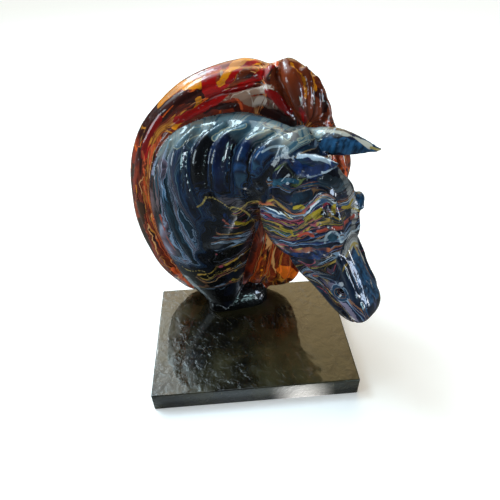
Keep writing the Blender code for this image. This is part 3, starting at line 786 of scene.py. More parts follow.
mane_guides = []
for i, path in enumerate(rims + polls + falls + feet[::-1]):
    mane_guides.append((LOCK_STEP * (i + MANE_FIRST), metres(laid(mane_skin, spline(path, GUIDE_POINTS)))))
for i, swing in enumerate(BACK_SWINGS):
    mane_guides.append((LOCK_STEP * (i + BACK_FIRST), metres(spline(back_lock(swing), BACK_GUIDE_POINTS))))
blue_guides = []
for i, path in enumerate(neck_paths):
    blue_guides.append((LOCK_STEP * (i + NECK_FIRST), metres(laid(neck_skin, spline(path, GUIDE_POINTS)))))
for number, path in SAGS:
    blue_guides.append((number, seen(spline(path, GUIDE_POINTS))))
for base, tip, _ in EARS:
    ends = on_head(*base), on_head(*tip)
    blue_guides.append((EAR_NUMBER, metres(np.linspace(*ends, EAR_GUIDE_POINTS))))
print(len(mane_guides), "guides on the mane,", len(blue_guides), "on the head and neck")

# %% Evening out and steepness
EVEN_RATE_ROUNDS = 12
SHORTEST_GAP = 0.2  # millimetres between two points of the casting
joins = np.array([e.vertices[:] for e in casting.edges])
neighbours = np.bincount(joins.ravel(), minlength=len(points))


def evened(values, rounds):
    """Evens values out between neighbouring points of the casting."""
    for _ in range(rounds):
        total = np.zeros_like(values)
        for a, b in ((0, 1), (1, 0)):
            for k in range(values.shape[1]):
                total[:, k] += np.bincount(joins[:, a], values[joins[:, b], k], len(values))
        values = 0.5 * values + 0.5 * total / neighbours[:, None]
    return values


def steepness(values):
    """How many numbers a value changes by in a millimetre, at each point of the casting."""
    first, second = joins.T
    gap = np.linalg.norm(points[first] - points[second], axis=1) / unit
    rise = np.abs(values[first] - values[second]) / np.maximum(gap, SHORTEST_GAP)
    steepest = np.zeros(len(values))
    np.maximum.at(steepest, first, rise)
    np.maximum.at(steepest, second, rise)
    return evened(steepest[:, None], EVEN_RATE_ROUNDS)[:, 0]


print("a point has", round(float(neighbours.mean()), 2), "neighbours")

# %% Reading the guides
NEAREST = 14  # guide points that share in a mean
SOFT_GAP = 2.0  # millimetres, within which guide points weigh about alike


def run_along(guides, places):
    """For each place: millimetres along the run, and the number across it."""
    samples, facts = [], []
    for number, path in guides:
        steps = np.linalg.norm(np.diff(path, axis=0), axis=1)
        for p, far in zip(path, np.concatenate([[0.0], np.cumsum(steps)])):
            samples.append(p)
            facts.append((far / unit, number))
    facts = np.array(facts)
    tree = KDTree(len(samples))
    for i, p in enumerate(samples):
        tree.insert(p, i)
    tree.balance()
    found = [tree.find_n(p, NEAREST) for p in places]
    index = np.array([[item[1] for item in row] for row in found])
    gap = np.array([[item[2] for item in row] for row in found]) / unit
    weight = (1.0 - gap / (gap[:, -1:] + 0.01)) ** 2 / (gap**2 + SOFT_GAP**2)
    return (facts[index] * weight[:, :, None]).sum(axis=1) / weight.sum(axis=1)[:, None]


print("each point reads", NEAREST, "guide points")

# %% Parts of the casting
def gap_to(kind):
    """Distance of each point to the lumps of a kind, in millimetres."""
    corners, faces = [], []
    for name, mesh in lumps:
        if name == kind:
            start = len(corners)
            corners += [v.co.copy() for v in mesh.vertices]
            faces += [[start + i for i in p.vertices] for p in mesh.polygons]
    tree = BVHTree.FromPolygons(corners, faces)
    return np.array([tree.find_nearest(Vector(p))[3] for p in points]) / unit


gaps = {kind: gap_to(kind) for kind in ("mane", "neck", "head", "foot")}
blue_gap = np.minimum(gaps["neck"], gaps["head"])
mane_side = blue_gap - gaps["mane"]
head_middle = np.array(place(*poll))
head_side = (points - head_middle) @ SIDE_WAY
beyond = (head_side > 0) & (gaps["head"] < gaps["neck"]) & (gaps["head"] < gaps["mane"])
mirrored = points.copy()
mirrored[beyond] -= 2 * head_side[beyond, None] * SIDE_WAY
print(int(beyond.sum()), "points mirrored on the far cheek")

# %% Run of the paint
EVEN_ROUNDS = 6
mane_run = evened(run_along(mane_guides, points), EVEN_ROUNDS)
blue_run = evened(run_along(blue_guides, mirrored), EVEN_ROUNDS)
run = np.where((mane_side > 0)[:, None], mane_run, blue_run)
rate = np.where(mane_side > 0, steepness(mane_run[:, 1]), steepness(blue_run[:, 1]))
print("numbers to a millimetre across the run:", np.percentile(rate, (5, 25, 50, 75, 95)).round(2))
print("run of the paint found at", len(run), "points")

# %% [markdown]
# ## Pours
# Each colour was poured in a few places. A pour is a line with a width to each side, in millimetres.
# A point of the casting keeps how deep inside the nearest pour of that colour it lies, also in
# millimetres, and less than nothing outside. The material later tears the edge of the pour with a
# noise that is stretched along the run. Texture painting could place the colours too, but its picture
# is as coarse as its pixels, while a line with a width stays sharp. The pours that the picture shows
# are given in its pixels. On the hidden back they follow the plain locks in turn.

# %% Pours on the mane
MANE_POURS = {
    "chestnut": (
        (13, ((288, 64), (285, 80), (290, 95), (299, 108))),
        (12, ((303, 74), (313, 95), (320, 112))),
        (6, ((245, 66), (237, 75), (232, 81))),
    ),
    "maroon": (
        (4.5, ((157, 109), (175, 100), (199, 95))),
        (3.5, ((205, 110), (215, 106), (232, 105), (237, 110))),
        (2.5, ((262, 112), (281, 120), (294, 127))),
        (0.9, ((244, 88), (254, 92), (263, 96))),
        (2.5, ((317, 91), (324, 100), (325, 110))),
        (2, ((137, 190), (140, 215), (148, 240))),
    ),
    "greige": (
        (4, ((225, 96), (245, 91), (262, 89), (270, 89))),
        (4.5, ((244, 95), (250, 102), (262, 100), (272, 105))),
        (1.2, ((220, 67), (221, 75), (219, 92))),
        (2.2, ((185, 81), (190, 76), (197, 75))),
    ),
    "amber": (
        (6, ((163, 103), (172, 92), (186, 85), (198, 82))),
        (5, ((220, 87), (230, 75), (237, 64), (245, 59))),
        (3.5, ((247, 62), (257, 61))),
        (2.2, ((199, 100), (195, 110), (180, 121), (174, 127))),
        (1.0, ((292, 65), (302, 76), (305, 87), (305, 97))),
        (1.0, ((311, 72), (315, 82), (315, 89))),
        (0.7, ((264, 258), (262, 268), (260, 290))),
        (0.9, ((136, 185), (138, 205), (141, 220))),
        (0.7, ((345, 157), (348, 166), (350, 176))),
    ),
    "scarlet": (
        (6.5, ((214, 70), (208, 80), (212, 92))),
        (3.5, ((274, 62), (260, 76), (245, 85), (225, 94), (212, 102), (195, 112), (177, 120))),
        (2.4, ((266, 60), (255, 61), (237, 71), (229, 82), (220, 91))),
        (3.5, ((269, 92), (275, 97), (286, 107), (289, 111))),
        (2.4, ((300, 109), (304, 115), (305, 120))),
        (3.2, ((159, 120), (151, 130), (147, 140), (144, 157))),
    ),
    "salmon": (
        (2.6, ((229, 115), (237, 115.6), (247, 115))),
        (0.9, ((226, 96), (234, 98), (240, 103), (242, 109))),
        (1.6, ((161, 137), (157, 143), (152, 150), (149, 163))),
        (1.0, ((143, 152), (144, 174), (147, 197), (154, 219))),
        (2.6, ((173, 269), (181, 277), (192, 287))),
        (2.5, ((327, 124), (333, 129), (340, 140))),
        (1.3, ((333, 157), (337, 164))),
        (1.5, ((341, 157), (344, 166), (347, 176))),
    ),
    "umber": (
        (5.5, ((139, 205), (143, 228), (152, 252), (167, 277))),
        (2.0, ((133, 165), (132, 185), (135, 200))),
    ),
    "tangerine": ((8.0, ((284, 271), (287, 273), (292, 275))),),
}
BACK_COLOURS = ("salmon", "maroon", "amber", "chestnut", "scarlet", "greige")
BACK_WIDTH = 3.2
BACK_STEPS, BACK_LONG, BACK_STAGGER = 90, 50, 12  # a lock has 90 steps, and a pour covers 50 of them
print("pours on the mane:", sum(len(pours) for pours in MANE_POURS.values()))

# %% Pours on the head and neck
BLUE_POURS = {
    "navy": (
        (5.5, ((300, 167), (312, 172), (322, 171), (333, 168))),
        (2.0, ((322, 153), (332, 156), (340, 155))),
        (5, ((285, 254), (305, 256), (322, 255))),
        (2.2, ((225, 215), (231, 222))),
    ),
    "teal": (
        (6.5, ((357, 258), (363, 278), (368, 297))),
        (6, ((326, 144), (338, 146), (350, 146), (362, 147), (372, 149))),
        (5, ((358, 193), (360, 198), (361, 204))),
        (3, ((256, 224), (262, 233), (270, 240))),
    ),
    # A painted highlight: this pale pour lies along the near ear's top and lower rim, where the glossy ear
    # catches light.
    "near_ear_highlight": (
        (2.0, ((298, 156), (308, 155.5), (318, 158), (329, 162.5))),
        (1.1, ((308, 177), (318, 175), (328, 171.5), (336, 167))),
    ),
    "bone": (
        (1.7, ((318, 131), (330, 131), (342, 133), (353, 136.5), (362, 141.5), (370, 146))),
        (0.8, ((356, 242), (361, 254), (367, 270), (373, 288))),
    ),
    "veil": (
        (4.2, (
            (341, 173), (346, 181), (350, 191), (353, 203), (354, 214), (353, 226), (351, 238),
            (347, 252),
        )),
    ),
    "smoke": (
        (4.2, ((222, 200), (232, 202), (244, 206))),
        (3.5, ((262, 127), (280, 131), (296, 137))),
    ),
    "slate": ((5.0, ((326, 180), (334, 181), (341, 186))),),
    "lagoon": (
        (2.4, ((274, 184), (281, 181), (290, 180.5), (297, 182))),
        (3.4, ((331, 237), (334, 238))),
    ),
    "ochre": (
        (1.8, ((282, 229), (289, 231), (292, 233))),
        (2.8, ((306, 220), (314, 216), (322, 212))),
        (1.6, ((294, 208), (303, 207))),
        (1.5, ((334, 206), (333, 215))),
        (0.9, ((342, 207), (352, 208), (358, 210))),
        (1.5, ((236, 223), (244, 224), (250, 221))),
    ),
    "coral": (
        (1.3, ((299, 236), (306, 233), (313, 236))),
        (1.1, ((318, 231), (326, 230))),
        (1.3, ((333, 228), (342, 227))),
        (1.4, ((345, 223), (348, 221))),
        (1.0, ((160, 215), (166, 235), (175, 250))),
        (1.0, ((223, 220), (228, 224))),
    ),
    "soot": (
        (2.0, ((324, 212), (327, 214))),
        (6, ((203, 294), (222, 299), (238, 296))),
    ),
    "gilt": (
        (0.9, (
            (206, 197), (213, 198), (219, 201), (228, 207), (235, 212), (243, 207), (249, 202),
            (257, 201),
        )),
        (0.85, ((197, 207), (202, 204), (206, 197))),
        (0.85, ((232, 207), (240, 209), (247, 213), (254, 221))),
        (0.9, (
            (168, 253), (183, 267), (191, 271), (203, 271), (210, 278), (218, 272), (230, 270),
            (240, 262),
        )),
        (0.9, ((371, 147.5), (376, 149), (381, 150.5))),
        (0.9, ((346, 257), (350, 249), (353, 244), (356, 249), (359, 255))),
    ),
    "frost": (
        (0.95, (
            (325, 243), (326, 237), (330, 232.5), (335, 232), (339, 236), (341, 242), (345, 239),
            (350, 233),
        )),
        (0.85, ((262, 152), (272, 147), (284, 146))),
    ),
}
LEAVES = (
    (2.8, ((177, 144), (188, 135), (200, 130), (208, 128))),
    (2.7, ((215, 137), (226, 130), (236, 127), (244, 125))),
    (2.4, ((248, 137), (255, 133), (263, 131))),
    (2.2, ((261, 128), (271, 129), (279, 132), (288, 137))),
    (2.6, ((300, 141), (310, 137), (318, 138))),
)
SWIRLS = ((8.5, ((341, 290), (344, 292))),)
print("pours on the head and neck:", sum(len(pours) for pours in BLUE_POURS.values()))

# %% Lay the pours
DEEPEST, SHALLOWEST = 12.0, -6.0
SIDE_REACH = 8  # millimetres from the border of two parts
RATE_RANGE = (0.1, 6.0)
POUR_POINTS = 30


def inside(paths, places):
    """How deep each place lies inside the widest pour near it, in millimetres."""
    deep = np.full(len(places), SHALLOWEST)
    for width, path in paths:
        if len(path) < 2:
            continue
        reach = (width - SHALLOWEST) * unit
        near = np.all((places > path.min(axis=0) - reach) & (places < path.max(axis=0) + reach), axis=1)
        near = np.nonzero(near)[0]
        gap = np.linalg.norm(places[near, None, :] - path[None, :, :], axis=2).min(axis=1)
        deep[near] = np.maximum(deep[near], width - gap / unit)
    return np.minimum(deep, DEEPEST)


def keep(name, values, kind="FLOAT"):
    """Stores a value at each point of the casting, for the material to read."""
    made = casting.attributes.new(name, kind, "POINT")
    made.data.foreach_set("vector" if kind == "FLOAT_VECTOR" else "value", values.astype(np.float32).ravel())


sides = {
    "mane_side": mane_side, "neck_side": gaps["head"] - gaps["neck"],
    "foot_side": np.minimum(blue_gap, gaps["mane"]) - gaps["foot"],
}
for name, side in sides.items():
    keep(name, np.clip(side, -SIDE_REACH, SIDE_REACH))
keep("rate", np.clip(rate, *RATE_RANGE))
keep("run", np.column_stack([run, points[:, 1] / unit]), "FLOAT_VECTOR")
for name, pours in MANE_POURS.items():
    paths = [(width, seen(spline(path, POUR_POINTS))) for width, path in pours]
    for i, swing in enumerate(BACK_SWINGS):
        if BACK_COLOURS[i % len(BACK_COLOURS)] == name:
            start = BACK_STAGGER * (i % 3)
            path = spline(back_lock(swing), BACK_STEPS)[start : start + BACK_LONG]
            paths.append((BACK_WIDTH, metres(path)))
    keep(name, inside(paths, points))
for name, pours in {**BLUE_POURS, "leaf": LEAVES, "swirl": SWIRLS}.items():
    paths = [(width, seen(spline(path, POUR_POINTS))) for width, path in pours]
    keep(name, np.maximum(inside(paths, points), inside(paths, mirrored)))
print("pours kept:", ", ".join(a.name for a in casting.attributes if a.data_type == "FLOAT"))

# %% [markdown]
# ## Marbled enamel under a clear coat
# The finish is solvent enamel, still liquid when one colour was poured on another, so the colours touch
# in sharp torn edges and thin drawn-out lines and don't blend. The base pattern reads the run of the
# paint: a noise squeezed across the run gives the streaks, and a row of bands gives the sagging lines of
# the face. The pours lie on top in turn, and some are thin, so the paint below shows through them.
# Where two colours were drawn out together, fine threads of one run through the other. A brushed clear
# coat covers it all and gleams, and one pale pour on the near ear is a painted highlight.

# %% Material tools
def linear(hex_colour):
    """An sRGB hex value as linear red, green, blue and alpha."""
    parts = [int(hex_colour[i : i + 2], 16) / 255 for i in (1, 3, 5)]
    return tuple(v / 12.92 if v <= 0.04045 else ((v + 0.055) / 1.055) ** 2.4 for v in parts) + (1.0,)


COLOURS = {"data_type": "RGBA", "out": 2}  # what makes a Mix node mix colours


def new_tree(name):
    """A new material and its empty node tree."""
    material = bpy.data.materials.new(name)
    material.use_nodes = True
    material.node_tree.nodes.clear()
    return material, material.node_tree


def add(tree, kind, links=None, out=0, stops=None, **settings):
    """Adds a node with its settings, values and links, and gives back one of its outputs."""
    made = tree.nodes.new("ShaderNode" + kind)
    for name, value in settings.items():
        setattr(made, name, value)
    if stops:
        ramp = made.color_ramp
        for place_at, _ in stops[2:]:
            ramp.elements.new(place_at)
        for element, (place_at, colour) in zip(ramp.elements, stops):
            element.position = place_at
            element.color = linear(colour)
    for name, value in (links or {}).items():
        if isinstance(value, bpy.types.NodeSocket):
            tree.links.new(value, made.inputs[name])
        else:
            made.inputs[name].default_value = value
    return made.outputs[out] if len(made.outputs) else made


print("middle grey in linear light:", round(linear("#808080")[0], 3))

# %% Coordinates for the streaks
# Poured enamel under brushed clear coat: the colours stay flat and torn, and small lamps gleam sharply.
marbled, tree = new_tree("poured_enamel_clear_coated")
run_read = add(tree, "Attribute", attribute_name="run", out="Vector")
split = add(tree, "SeparateXYZ", {0: run_read}).node
along_run, across_run, depth_read = (split.outputs[i] for i in range(3))
DEPTH_MM = 60  # grain along the depth, so that two places with the same run still differ


def streaky(along_mm, across_mm, seed, detail=2.0, across=across_run):
    """A noise whose grains are so many millimetres along the run of the paint and across it."""
    x = add(tree, "Math", {0: along_run, 1: 1 / along_mm}, operation="MULTIPLY")
    y = add(tree, "Math", {0: across, 1: 1 / across_mm}, operation="MULTIPLY")
    z = add(tree, "Math", {0: depth_read, 1: 1 / DEPTH_MM, 2: seed}, operation="MULTIPLY_ADD")
    at = add(tree, "CombineXYZ", {0: x, 1: y, 2: z})
    return add(tree, "TexNoise", {"Vector": at, "Scale": 1.0, "Detail": detail})


def with_lines(broader, finer, share):
    """A noise with a share of a finer one, which keeps its middle value."""
    both = add(tree, "Math", {0: finer, 1: share, 2: broader}, operation="MULTIPLY_ADD")
    return add(tree, "Math", {0: both, 1: share / 2}, operation="SUBTRACT")


SWAYS = ((34, 22, 3.6), (11, 8, 2.0), (4, 4, 0.6))  # grain along, grain across, and sway, in millimetres
rate_read = add(tree, "Attribute", attribute_name="rate", out="Fac")
swayed = 0.0
for seed, (along_mm, across_mm, sway_mm) in enumerate(SWAYS):
    middle = add(tree, "Math", {0: streaky(along_mm, across_mm, 1.0 + seed), 1: -0.5}, operation="ADD")
    swayed = add(tree, "Math", {0: middle, 1: 2 * sway_mm, 2: swayed}, operation="MULTIPLY_ADD")
swayed = add(tree, "Math", {0: swayed, 1: rate_read, 2: across_run}, operation="MULTIPLY_ADD")
# Each of these four is grain along, grain across, seed and detail.
streaks = streaky(70, 3.0, 4.0, 3.0, swayed)
fine_streaks = streaky(45, 1.1, 5.0, 2.0, swayed)
broad = streaky(26, 11, 6.0, 2.0, swayed)
torn = streaky(10, 3.5, 7.0, 4.0, swayed)
mixed = with_lines(streaks, fine_streaks, 0.35)
torn_middle = add(tree, "Math", {0: torn, 1: -0.5}, operation="ADD")
# A Noise value keeps near 0.5, so the ranges that read one below are narrow and lie around it.
even_shade = add(tree, "MapRange", {0: mixed, 1: 0.37, 2: 0.62, 3: 0.5, 4: 1.3})
streaky_shade = add(tree, "MapRange", {0: mixed, 1: 0.38, 2: 0.6, 3: 0.15, 4: 1.5})
print("streak coordinates made")

# %% Paints
PAINTS = {
    "chestnut": "#7a3114", "umber": "#3c2413", "maroon": "#3c1009", "greige": "#9c7a66",
    "amber": "#e58a12", "scarlet": "#a80a08", "salmon": "#d8582a", "tangerine": "#ff7a22",
    "near_ear_highlight": "#9aaab8", "bone": "#beb9ac", "veil": "#a6a8a6", "smoke": "#47424a", "slate": "#33454f",
    "navy": "#0a234e", "teal": "#20486a", "lagoon": "#1f4c62", "ochre": "#8f7c1e", "coral": "#a03a2a",
    "soot": "#070708", "gilt": "#9c8a4c", "frost": "#b4c8d4", "leaf": "#6f9aa8",
}
print(len(PAINTS), "paints")

# %% Threads, bands and pours
EDGE_MM, RIM_MM, RIM_COVER = 0.25, 0.45, 0.8
RAMP_STOPS = 30  # a ramp holds 32


def off_from(value, middle):
    """How far a value that changes across the run is from its middle, evened out by the rate."""
    off = add(tree, "Math", {0: value, 1: middle}, operation="SUBTRACT")
    off = add(tree, "Math", {0: off}, operation="ABSOLUTE")
    return add(tree, "Math", {0: off, 1: rate_read}, operation="DIVIDE")


def threads(under, seed, along_mm, across_mm, thread_mm, colour, where):
    """Thin drawn-out lines of one colour, where a stretched noise passes its middle value."""
    off = off_from(streaky(along_mm, across_mm, seed, 2.0, swayed), 0.5)
    half = thread_mm / (4 * across_mm)
    cover = add(tree, "MapRange", {0: off, 1: half * 0.7, 2: half * 1.3, 3: 1.0, 4: 0.0})
    cover = add(tree, "Math", {0: cover, 1: where}, operation="MULTIPLY")
    return add(tree, "Mix", {0: cover, 6: under, 7: linear(colour)}, **COLOURS)


def drawn(under, rows, strength):
    """Thin lines at given numbers across the run, each with its width in millimetres and its colour."""
    for number, width_mm, colour in rows:
        off = off_from(swayed, number)
        cover = add(tree, "MapRange", {0: off, 1: width_mm * 0.35, 2: width_mm * 0.65, 3: 1.0, 4: 0.0})
        cover = add(tree, "Math", {0: cover, 1: strength}, operation="MULTIPLY")
        under = add(tree, "Mix", {0: cover, 6: under, 7: linear(colour)}, **COLOURS)
    return under


def bands(value, rows):
    """A colour for each band of a value. A long list takes several ramps."""
    colour = None
    for first in range(0, len(rows), RAMP_STOPS):
        part = rows[first : first + RAMP_STOPS]
        low, high = part[0][0], part[-1][0] + 1.0
        at = add(tree, "MapRange", {0: value, 1: low, 2: high, 3: 0.0, 4: 1.0})
        stops = [((band - low) / (high - low), tone) for band, tone in part]
        ramp = add(tree, "ValToRGB", {0: at}, stops=stops)
        ramp.node.color_ramp.interpolation = "CONSTANT"
        if colour is None:
            colour = ramp
        else:
            reached = add(tree, "Math", {0: value, 1: low}, operation="GREATER_THAN")
            colour = add(tree, "Mix", {0: reached, 6: colour, 7: ramp}, **COLOURS)
    return colour


def pour(under, name, torn_mm, shading, rim=None, fill=1.0):
    """Lays a pour over a colour, with its edge torn along the run, and a thin rim of another colour."""
    deep = add(tree, "Attribute", attribute_name=name, out="Fac")
    edge = add(tree, "Math", {0: torn_middle, 1: torn_mm * 2, 2: deep}, operation="MULTIPLY_ADD")
    shade = add(tree, "HueSaturation", {"Color": linear(PAINTS[name]), "Value": shading})
    filled = add(tree, "MapRange", {0: edge, 1: -EDGE_MM, 2: EDGE_MM, 3: 0.0, 4: fill})
    over = add(tree, "Mix", {0: filled, 6: under, 7: shade}, **COLOURS)
    if rim:
        off = add(tree, "Math", {0: edge}, operation="ABSOLUTE")
        line = add(tree, "MapRange", {0: off, 1: RIM_MM / 2, 2: RIM_MM / 2 + EDGE_MM, 3: RIM_COVER, 4: 0.0})
        over = add(tree, "Mix", {0: line, 6: over, 7: linear(rim)}, **COLOURS)
    return over


print("threads, bands and pours ready")

# %% Colours of the mane
MANE_STREAKS = (
    (0.0, "#1c0905"), (0.38, "#34110a"), (0.43, "#571a0d"), (0.47, "#76260f"), (0.51, "#8c3017"),
    (0.535, "#5c1c0c"), (0.56, "#9c4220"), (0.59, "#4a1508"), (0.63, "#8c3c1c"), (0.67, "#5c1c0c"),
    (0.74, "#7c341a"), (1.0, "#9c5a34"),
)
mane_colour = add(tree, "ValToRGB", {0: mixed}, stops=MANE_STREAKS)
mane_colour.node.color_ramp.interpolation = "EASE"
here = add(tree, "MapRange", {0: broad, 1: 0.44, 2: 0.52, 3: 0.0, 4: 1.0})
there = add(tree, "MapRange", {0: broad, 1: 0.46, 2: 0.54, 3: 1.0, 4: 0.0})
MANE_THREADS = (  # seed, grain along, grain across, thread width, colour and where
    (20.0, 120, 5, 0.7, "#1c0905", there), (21.0, 140, 5, 0.7, "#d2561c", here),
    (22.0, 120, 8, 0.4, "#e0a060", here), (23.0, 110, 7, 0.5, "#d88a2a", there),
)
for row in MANE_THREADS:
    mane_colour = threads(mane_colour, *row)
greige_read = add(tree, "Attribute", attribute_name="greige", out="Fac")
in_greige = add(tree, "MapRange", {0: greige_read, 1: 0.0, 2: 2.0, 3: 0.0, 4: 0.8})
GREIGE_THREADS = ((24.0, 30, 2.6, 0.8, "#6a2c20", in_greige), (25.0, 30, 3.4, 0.6, "#d8c4b4", in_greige))
MANE_TORN_MM = {
    "umber": 4, "chestnut": 3, "maroon": 4, "greige": 4, "amber": 4, "scarlet": 4, "salmon": 3,
    "tangerine": 2,
}
for name in MANE_POURS:
    mane_colour = pour(mane_colour, name, MANE_TORN_MM[name], even_shade)
    for row in GREIGE_THREADS if name == "greige" else ():
        mane_colour = threads(mane_colour, *row)
print("mane colours:", ", ".join(MANE_POURS))

# %% Colours of the hair on the neck
HAIR_STREAKS = (
    (0.0, "#020306"), (0.4, "#04070d"), (0.45, "#07102a"), (0.49, "#08193e"), (0.52, "#0c2a4c"),
    (0.54, "#060c1c"), (0.575, "#153c66"), (0.6, "#081428"), (0.64, "#24465e"), (0.67, "#0a1626"),
    (0.74, "#4c6c80"), (1.0, "#8a98a0"),
)
LONG_STREAKS = (
    (0.0, "#05080c"), (0.38, "#0a1a24"), (0.43, "#16384a"), (0.46, "#0a141c"), (0.48, "#3c6a8c"),
    (0.5, "#8ea4c0"), (0.515, "#10242e"), (0.54, "#6c5c6c"), (0.56, "#8c98b0"), (0.58, "#14303a"),
    (0.61, "#0a1418"), (0.64, "#786468"), (0.67, "#1c4454"), (0.74, "#7c98a8"), (1.0, "#a8b4b8"),
)
CREST_STREAKS = (
    (0.0, "#22384a"), (0.42, "#3c5c6c"), (0.47, "#6f868a"), (0.52, "#8f8b7e"), (0.57, "#5c8492"),
    (0.64, "#7f7c70"), (0.72, "#4a7080"), (1.0, "#b4b2a4"),
)
LONG_FROM, LONG_TO = -90.0, -106.0  # numbers across the run, from the last short lock to the long ones
CREST_FROM, CREST_TO, CREST_TORN = 4.0, 20.0, 22.0  # millimetres down the lock
DARK_FROM, DARK_TO, DARK_TORN = 30.0, 62.0, 40.0
hair_streaks = streaky(110, 2.6, 8.0, 3.0, swayed)
hair_lines = streaky(80, 0.9, 9.0, 1.0, swayed)
hair_at = with_lines(hair_streaks, hair_lines, 0.5)
long_lock = add(tree, "MapRange", {0: across_run, 1: LONG_FROM, 2: LONG_TO, 3: 0.0, 4: 1.0})
short_colour = add(tree, "ValToRGB", {0: hair_at}, stops=HAIR_STREAKS)
down_lock = add(tree, "Math", {0: torn_middle, 1: DARK_TORN, 2: along_run}, operation="MULTIPLY_ADD")
down_lock = add(tree, "MapRange", {0: down_lock, 1: DARK_FROM, 2: DARK_TO, 3: 1.15, 4: 0.75})
short_colour = add(tree, "HueSaturation", {"Color": short_colour, "Value": down_lock})
long_streaks = streaky(150, 5.5, 14.0, 2.0, swayed)
long_at = with_lines(long_streaks, hair_lines, 0.35)
long_colour = add(tree, "ValToRGB", {0: long_at}, stops=LONG_STREAKS)
hair_colour = add(tree, "Mix", {0: long_lock, 6: short_colour, 7: long_colour}, **COLOURS)
crest_at = add(tree, "Math", {0: hair_at, 1: 0.02}, operation="ADD")
crest_colour = add(tree, "ValToRGB", {0: crest_at}, stops=CREST_STREAKS)
crest_at = add(tree, "Math", {0: torn_middle, 1: CREST_TORN, 2: along_run}, operation="MULTIPLY_ADD")
on_crest = add(tree, "MapRange", {0: crest_at, 1: CREST_FROM, 2: CREST_TO, 3: 1.0, 4: 0.0})
hair_colour = add(tree, "Mix", {0: on_crest, 6: hair_colour, 7: crest_colour}, **COLOURS)
print("hair colours made")

# %% Colours of the face and throat
FACE_BANDS = (  # the number across the run where a band begins, and its colour
    (20, "#0a0e16"),
    (22, "#5a3a2e"), (22.7, "#12162c"), (24.2, "#a4563a"), (26.6, "#c4924a"), (27.2, "#0e1228"),
    (29.6, "#c9d3d8"), (30.7, "#2f4c6c"), (33, "#6f8aa4"), (33.7, "#12153e"), (36.6, "#a83848"),
    (38, "#151444"), (40.5, "#6c6a94"), (41, "#0f1032"), (43, "#c0a04a"), (44, "#1b3842"),
    (47, "#98893a"), (47.6, "#14323e"), (50.3, "#74803a"), (50.9, "#0e2a38"), (53.4, "#ac962e"),
    (54.6, "#0c172c"), (57, "#5c3460"), (58, "#0a0f28"), (60.2, "#84463a"), (61.1, "#0c1134"),
    (64, "#2c4878"), (64.7, "#0a102c"), (66.5, "#8ca4b8"), (67.0, "#102c54"), (69, "#5c789a"),
    (69.4, "#0a1028"), (72.4, "#a85e3c"), (73.4, "#2e2048"), (75.2, "#7c6c94"), (75.9, "#070b18"),
    (83, "#24244a"), (83.8, "#060a16"), (89, "#7c6c34"), (89.7, "#0c141c"), (92, "#60506c"),
    (92.8, "#0e1018"), (95.5, "#a8883c"), (96.3, "#141c34"), (98.5, "#8494b4"), (99.5, "#0e1424"),
    (102, "#9c7a3a"), (102.7, "#0c1a30"), (105, "#5c7498"), (105.8, "#101a34"), (108, "#6c6478"),
    (108.8, "#0e1a34"), (111, "#54709c"), (111.7, "#0f2240"), (114, "#5c607c"), (114.8, "#0c2038"),
    (119, "#2c5478"), (121, "#0c2848"), (124, "#1c4a70"), (125.5, "#0a2444"), (128, "#3c4464"),
    (128.8, "#0e2434"), (133, "#34566c"), (134, "#0a1826"), (137, "#54463c"),
)
FOREHEAD_LINES = (  # number across the run, width in millimetres, and colour
    (-20, 0.5, "#3a5c70"), (-17, 0.6, "#24465a"), (-14.5, 0.4, "#7c6a50"), (-12, 0.5, "#2c3c5c"),
    (-9.5, 0.5, "#8a7040"), (-7, 0.7, "#26506a"), (-4.5, 0.4, "#6c443a"), (-2.5, 0.5, "#24465a"),
    (-0.3, 0.6, "#5c6838"), (2, 0.4, "#7c4a3c"), (4.5, 0.7, "#26485c"), (7, 0.5, "#7c6438"),
    (9.5, 0.5, "#3c4c74"), (12.8, 0.5, "#6c5038"), (16, 0.5, "#6a4454"), (19, 0.6, "#20464a"),
)
THROAT_LINES = (
    (21, 0.6, "#26364e"), (25.5, 0.8, "#b08c3c"), (27.5, 0.5, "#3c3c64"), (31.3, 0.6, "#34325a"),
    (36.4, 0.7, "#6a5048"), (40, 0.5, "#22405c"), (43.5, 0.9, "#1c3454"), (47, 0.4, "#3c3430"),
    (50.4, 0.6, "#4a4440"), (57.3, 0.6, "#4c586c"), (60.5, 0.4, "#34404e"), (63.9, 0.45, "#7c8490"),
    (67.8, 0.35, "#565c68"), (72.3, 0.45, "#6e7480"), (76.3, 0.5, "#4c4c50"), (80.8, 0.8, "#b08a38"),
    (82.6, 0.4, "#7c5a34"), (84.3, 0.5, "#5a4a34"), (88.4, 0.8, "#8f6f4c"), (94.3, 0.5, "#6a5030"),
)
GROUND = (
    (0.0, "#05060a"), (0.44, "#080d18"), (0.5, "#0b1838"), (0.56, "#0d2c40"), (0.64, "#070b14"),
    (1.0, "#203c50"),
)
THROAT_GROUND = (
    (0.0, "#040405"), (0.46, "#07080b"), (0.52, "#0a1020"), (0.58, "#0c1622"), (0.66, "#0e0c0b"),
    (1.0, "#241c18"),
)
SWIRL_BANDS = (
    (-7, "#7c8ea0"), (0.3, "#1c3650"), (2.2, "#6f5a50"), (2.6, "#10152a"), (3.4, "#2c4a60"),
    (3.8, "#0e1426"), (5.0, "#7a5244"), (5.5, "#0e1426"), (6.5, "#8a7a88"), (6.9, "#080a12"),
)
print("bands and lines:", len(FACE_BANDS), len(FOREHEAD_LINES), len(THROAT_LINES))

